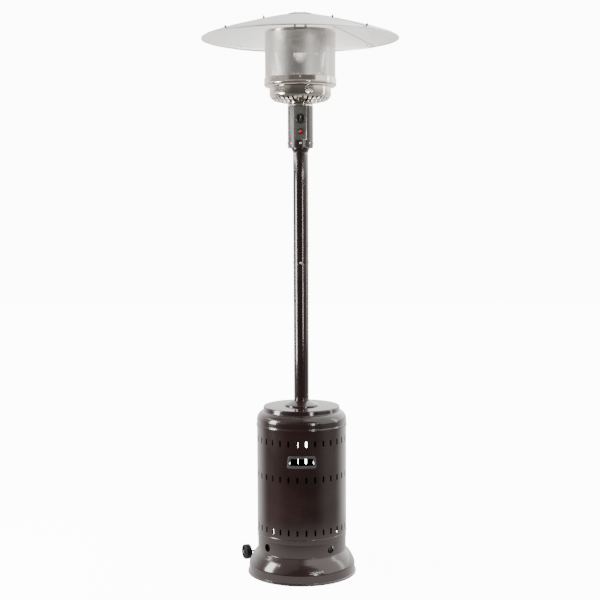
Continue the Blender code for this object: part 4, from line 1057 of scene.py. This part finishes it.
# Crown plate and posts. A pressed aluminium disc on top of the dome, clamped by two zinc-plated posts and nuts.
# The posts stand on the screen's lid and carry the whole reflector.

crown_line = profile(
    (3.8, 2327.2, 0), (30, 2327.2, 6), (52.5, 2326.9, 2), (54.8, 2325.9, 0.6), (54.8, 2325.1, 0),
    (3.8, 2325.1, 0),
)
crown_plate = lathe("crown_plate_pressed", crown_line, 96)
fit(crown_plate, "stand", reflector_aluminium, "crown_plate")
post_line = profile(
    (0, 2336.7, 0), (2.6, 2336.2, 0.5), (3, 2335, 0.5), (3, 2321.3, 0.2), (6, 2321.2, 0.5),
    (6, 2252.1, 0.5), (0, 2252.1, 0), steps=3,
)
for side, word in ((-1.0, "left"), (1.0, "right")):
    post = lathe(f"reflector_post_turned_{word}", post_line, 32, closed=False)
    post.data.transform(Matrix.Translation((side * 22.0 * mm, 0.0, 0.0)))
    fit(post, "stand", zinc_plate, f"reflector_post_{word}")
    nut = hex_nut(f"crown_nut_hex_{word}", 10.4 * mm, 5.3 * mm, 3.05 * mm)
    nut.data.transform(Matrix.Translation((side * 22.0 * mm, 0.0, 2327.5 * mm)))
    fit(nut, "stand", zinc_plate, f"crown_nut_{word}")


# Gas line. A black rubber hose runs down inside the pole to a regulator, which hangs in a bent strap.
# A moulded hand wheel under it screws onto the gas bottle's valve.

hose_rubber = moulded("hose_rubber", colour(26, 26, 27), 0.6, 0.002, 0.00006)
repaint("gas_hose", hose_rubber)
repaint("regulator", zinc_plate)
repaint("regulator_strap", zinc_plate)
low, high = (corner.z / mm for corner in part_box("coupling_nut"))
wheel_line = profile(
    (7.7, high, 0), (12.8, high, 1), (15.9, high - 3, 1.5), (15.9, low + 0.6, 0.6), (12.1, low, 0.4),
    (12.1, low + 5.4, 0), (7.7, low + 5.4, 0),
)
hand_wheel = lathe("coupling_nut_moulded", wheel_line, 96)
groove_line = profile((0, high + 1, 0), (1.3, high + 1, 0), (1.3, low - 1, 0), (0, low - 1, 0))
groove = lathe("grip_groove", groove_line, 10, False, (0.0, -16.6 * mm))
grow(hand_wheel, cut_around, black_plastic, Tool=groove, Count=18, First=0.0)
fit(hand_wheel, "coupling_nut", black_plastic, "coupling_nut")


# Studio. A pale floor with a glow round the heater, under a white surround. A tall soft light stands at the left,
# a narrow one right of the camera and a faint one at the right side, and two long low ones light the head.

floor_paint = Finish("floor_paint", Roughness=0.75, Emission_Strength=11.6)
floor_cloud = floor_paint.noise(0.6, 2.0, 0.5)
floor_paint.feed("Base Color", floor_paint.blend(floor_cloud, (0.90, 0.90, 0.90, 1.0), (0.93, 0.93, 0.93, 1.0)))
floor_paint.feed("Emission Color", floor_paint.blend(floor_cloud, (0.99, 0.99, 0.99, 1.0), (1.0, 1.0, 1.0, 1.0)))
shape = bmesh.new()
bmesh.ops.create_grid(shape, x_segments=1, y_segments=1, size=14.0)
floor = from_shape("floor", shape)
if floor.data.polygons[0].normal.z < 0.0:
    floor.data.flip_normals()
floor.location.z = -0.0005
floor.data.materials.append(floor_paint.material)
floor.visible_glossy = False
floor.visible_diffuse = False

bounce_paint = Finish("floor_bounce", Roughness=0.9, Base_Color=(0.0, 0.0, 0.0, 1.0), Emission_Strength=1.15)
spread = bounce_paint.axis("X") * bounce_paint.axis("X") + bounce_paint.axis("Y") * bounce_paint.axis("Y")
near = spread.fade(1.35, 0.3)
bounce_paint.feed("Emission Color", bounce_paint.blend(near, (0.9, 0.86, 0.84, 1.0), (1.0, 0.96, 0.94, 1.0)))
bounce_paint.feed("Alpha", near)
bounce = lathe("floor_bounce", [(0.0, -0.0002), (1.4, -0.0002)], 48, closed=False)
if bounce.data.polygons[0].normal.z < 0.0:
    bounce.data.flip_normals()
bounce.data.materials.append(bounce_paint.material)
bounce.visible_camera = False
bounce.visible_shadow = False


class Surround(Finish):
    """The light that comes from all round, worked out from the direction looked in."""

    def __init__(self, name):
        world = bpy.data.worlds.new(name)
        world.use_nodes = True
        bpy.context.scene.world = world
        self.tree = world.node_tree
        self.tree.nodes.clear()


sky = Surround("studio")
way = sky.node("ShaderNodeTexCoord", output="Generated")
east = sky.axis("X", way)
north = sky.axis("Y", way)
up = sky.axis("Z", way)
walls = north.fade(0.05, 0.8) * 1.4 + north.fade(-0.85, -0.35) * 0.4 * (east.fade(-0.3, 0.3) * 0.6 + 0.4) + 0.10
right_high = north.fade(-0.66, -0.60) * east.fade(0.0, 0.2) * 1.5
left_high = north.fade(-0.85, -0.70) * east.fade(0.0, -0.2) * 0.3
high = right_high + left_high + 0.08
below = up.fade(-0.66, -0.76) * north.fade(0.2, 0.5) * 3.5
camera_ray = sky.node("ShaderNodeLightPath", output="Is Camera Ray")
light = (walls + up.fade(0.08, 0.10) * high + below) * (1.0 - camera_ray) + camera_ray * 12.0
shine = sky.node("ShaderNodeBackground", {}, {"Color": (1.0, 0.985, 0.97, 1.0), "Strength": light})
outlet = sky.tree.nodes.new("ShaderNodeOutputWorld")
sky.tree.links.new(shine.link, outlet.inputs["Surface"])


def softbox(name, azimuth, distance, low, high, wide, power, tint=(1.0, 0.985, 0.97)):
    """An upright rectangular light facing the heater, at an angle from the front towards the right."""
    light = bpy.data.lights.new(name, "AREA")
    light.shape = "RECTANGLE"
    light.size = wide
    light.size_y = high - low
    light.energy = power
    light.color = tint
    lamp = bpy.data.objects.new(name, light)
    angle = math.radians(azimuth)
    where = Vector((distance * math.sin(angle), -distance * math.cos(angle), (low + high) / 2.0))
    target = Vector((0.0, 0.0, (low + high) / 2.0))
    lamp.matrix_world = Matrix.Translation(where) @ (target - where).to_track_quat("-Z", "Y").to_matrix().to_4x4()
    bpy.context.scene.collection.objects.link(lamp)
    return lamp


softbox("left_light", -76.0, 2.4, 0.5, 1.86, 0.75, 92.0)
softbox("left_high_light", -84.0, 2.4, 2.02, 2.09, 2.4, 13.0)
softbox("front_right_light", 29.0, 4.4, 0.5, 1.9, 0.42, 40.0)
softbox("front_right_high_light", 33.0, 4.4, 2.13, 2.2, 2.4, 13.0)
softbox("right_light", 98.0, 3.0, 0.6, 2.8, 0.5, 14.0)


# Camera. It stands in front at chest height and looks slightly down the middle of the heater.

lens = bpy.data.cameras.new("camera")
lens.sensor_width = 36.0
lens.lens = 71.16
lens.clip_end = 60.0
camera = bpy.data.objects.new("camera", lens)
tilt = Matrix.Rotation(math.radians(90.0 - 4.45), 4, "X") @ Matrix.Rotation(math.radians(-0.22), 4, "Z")
camera.matrix_world = Matrix.Translation((-0.0046, -4.94, 1.5351)) @ tilt
bpy.context.scene.collection.objects.link(camera)
bpy.context.scene.camera = camera
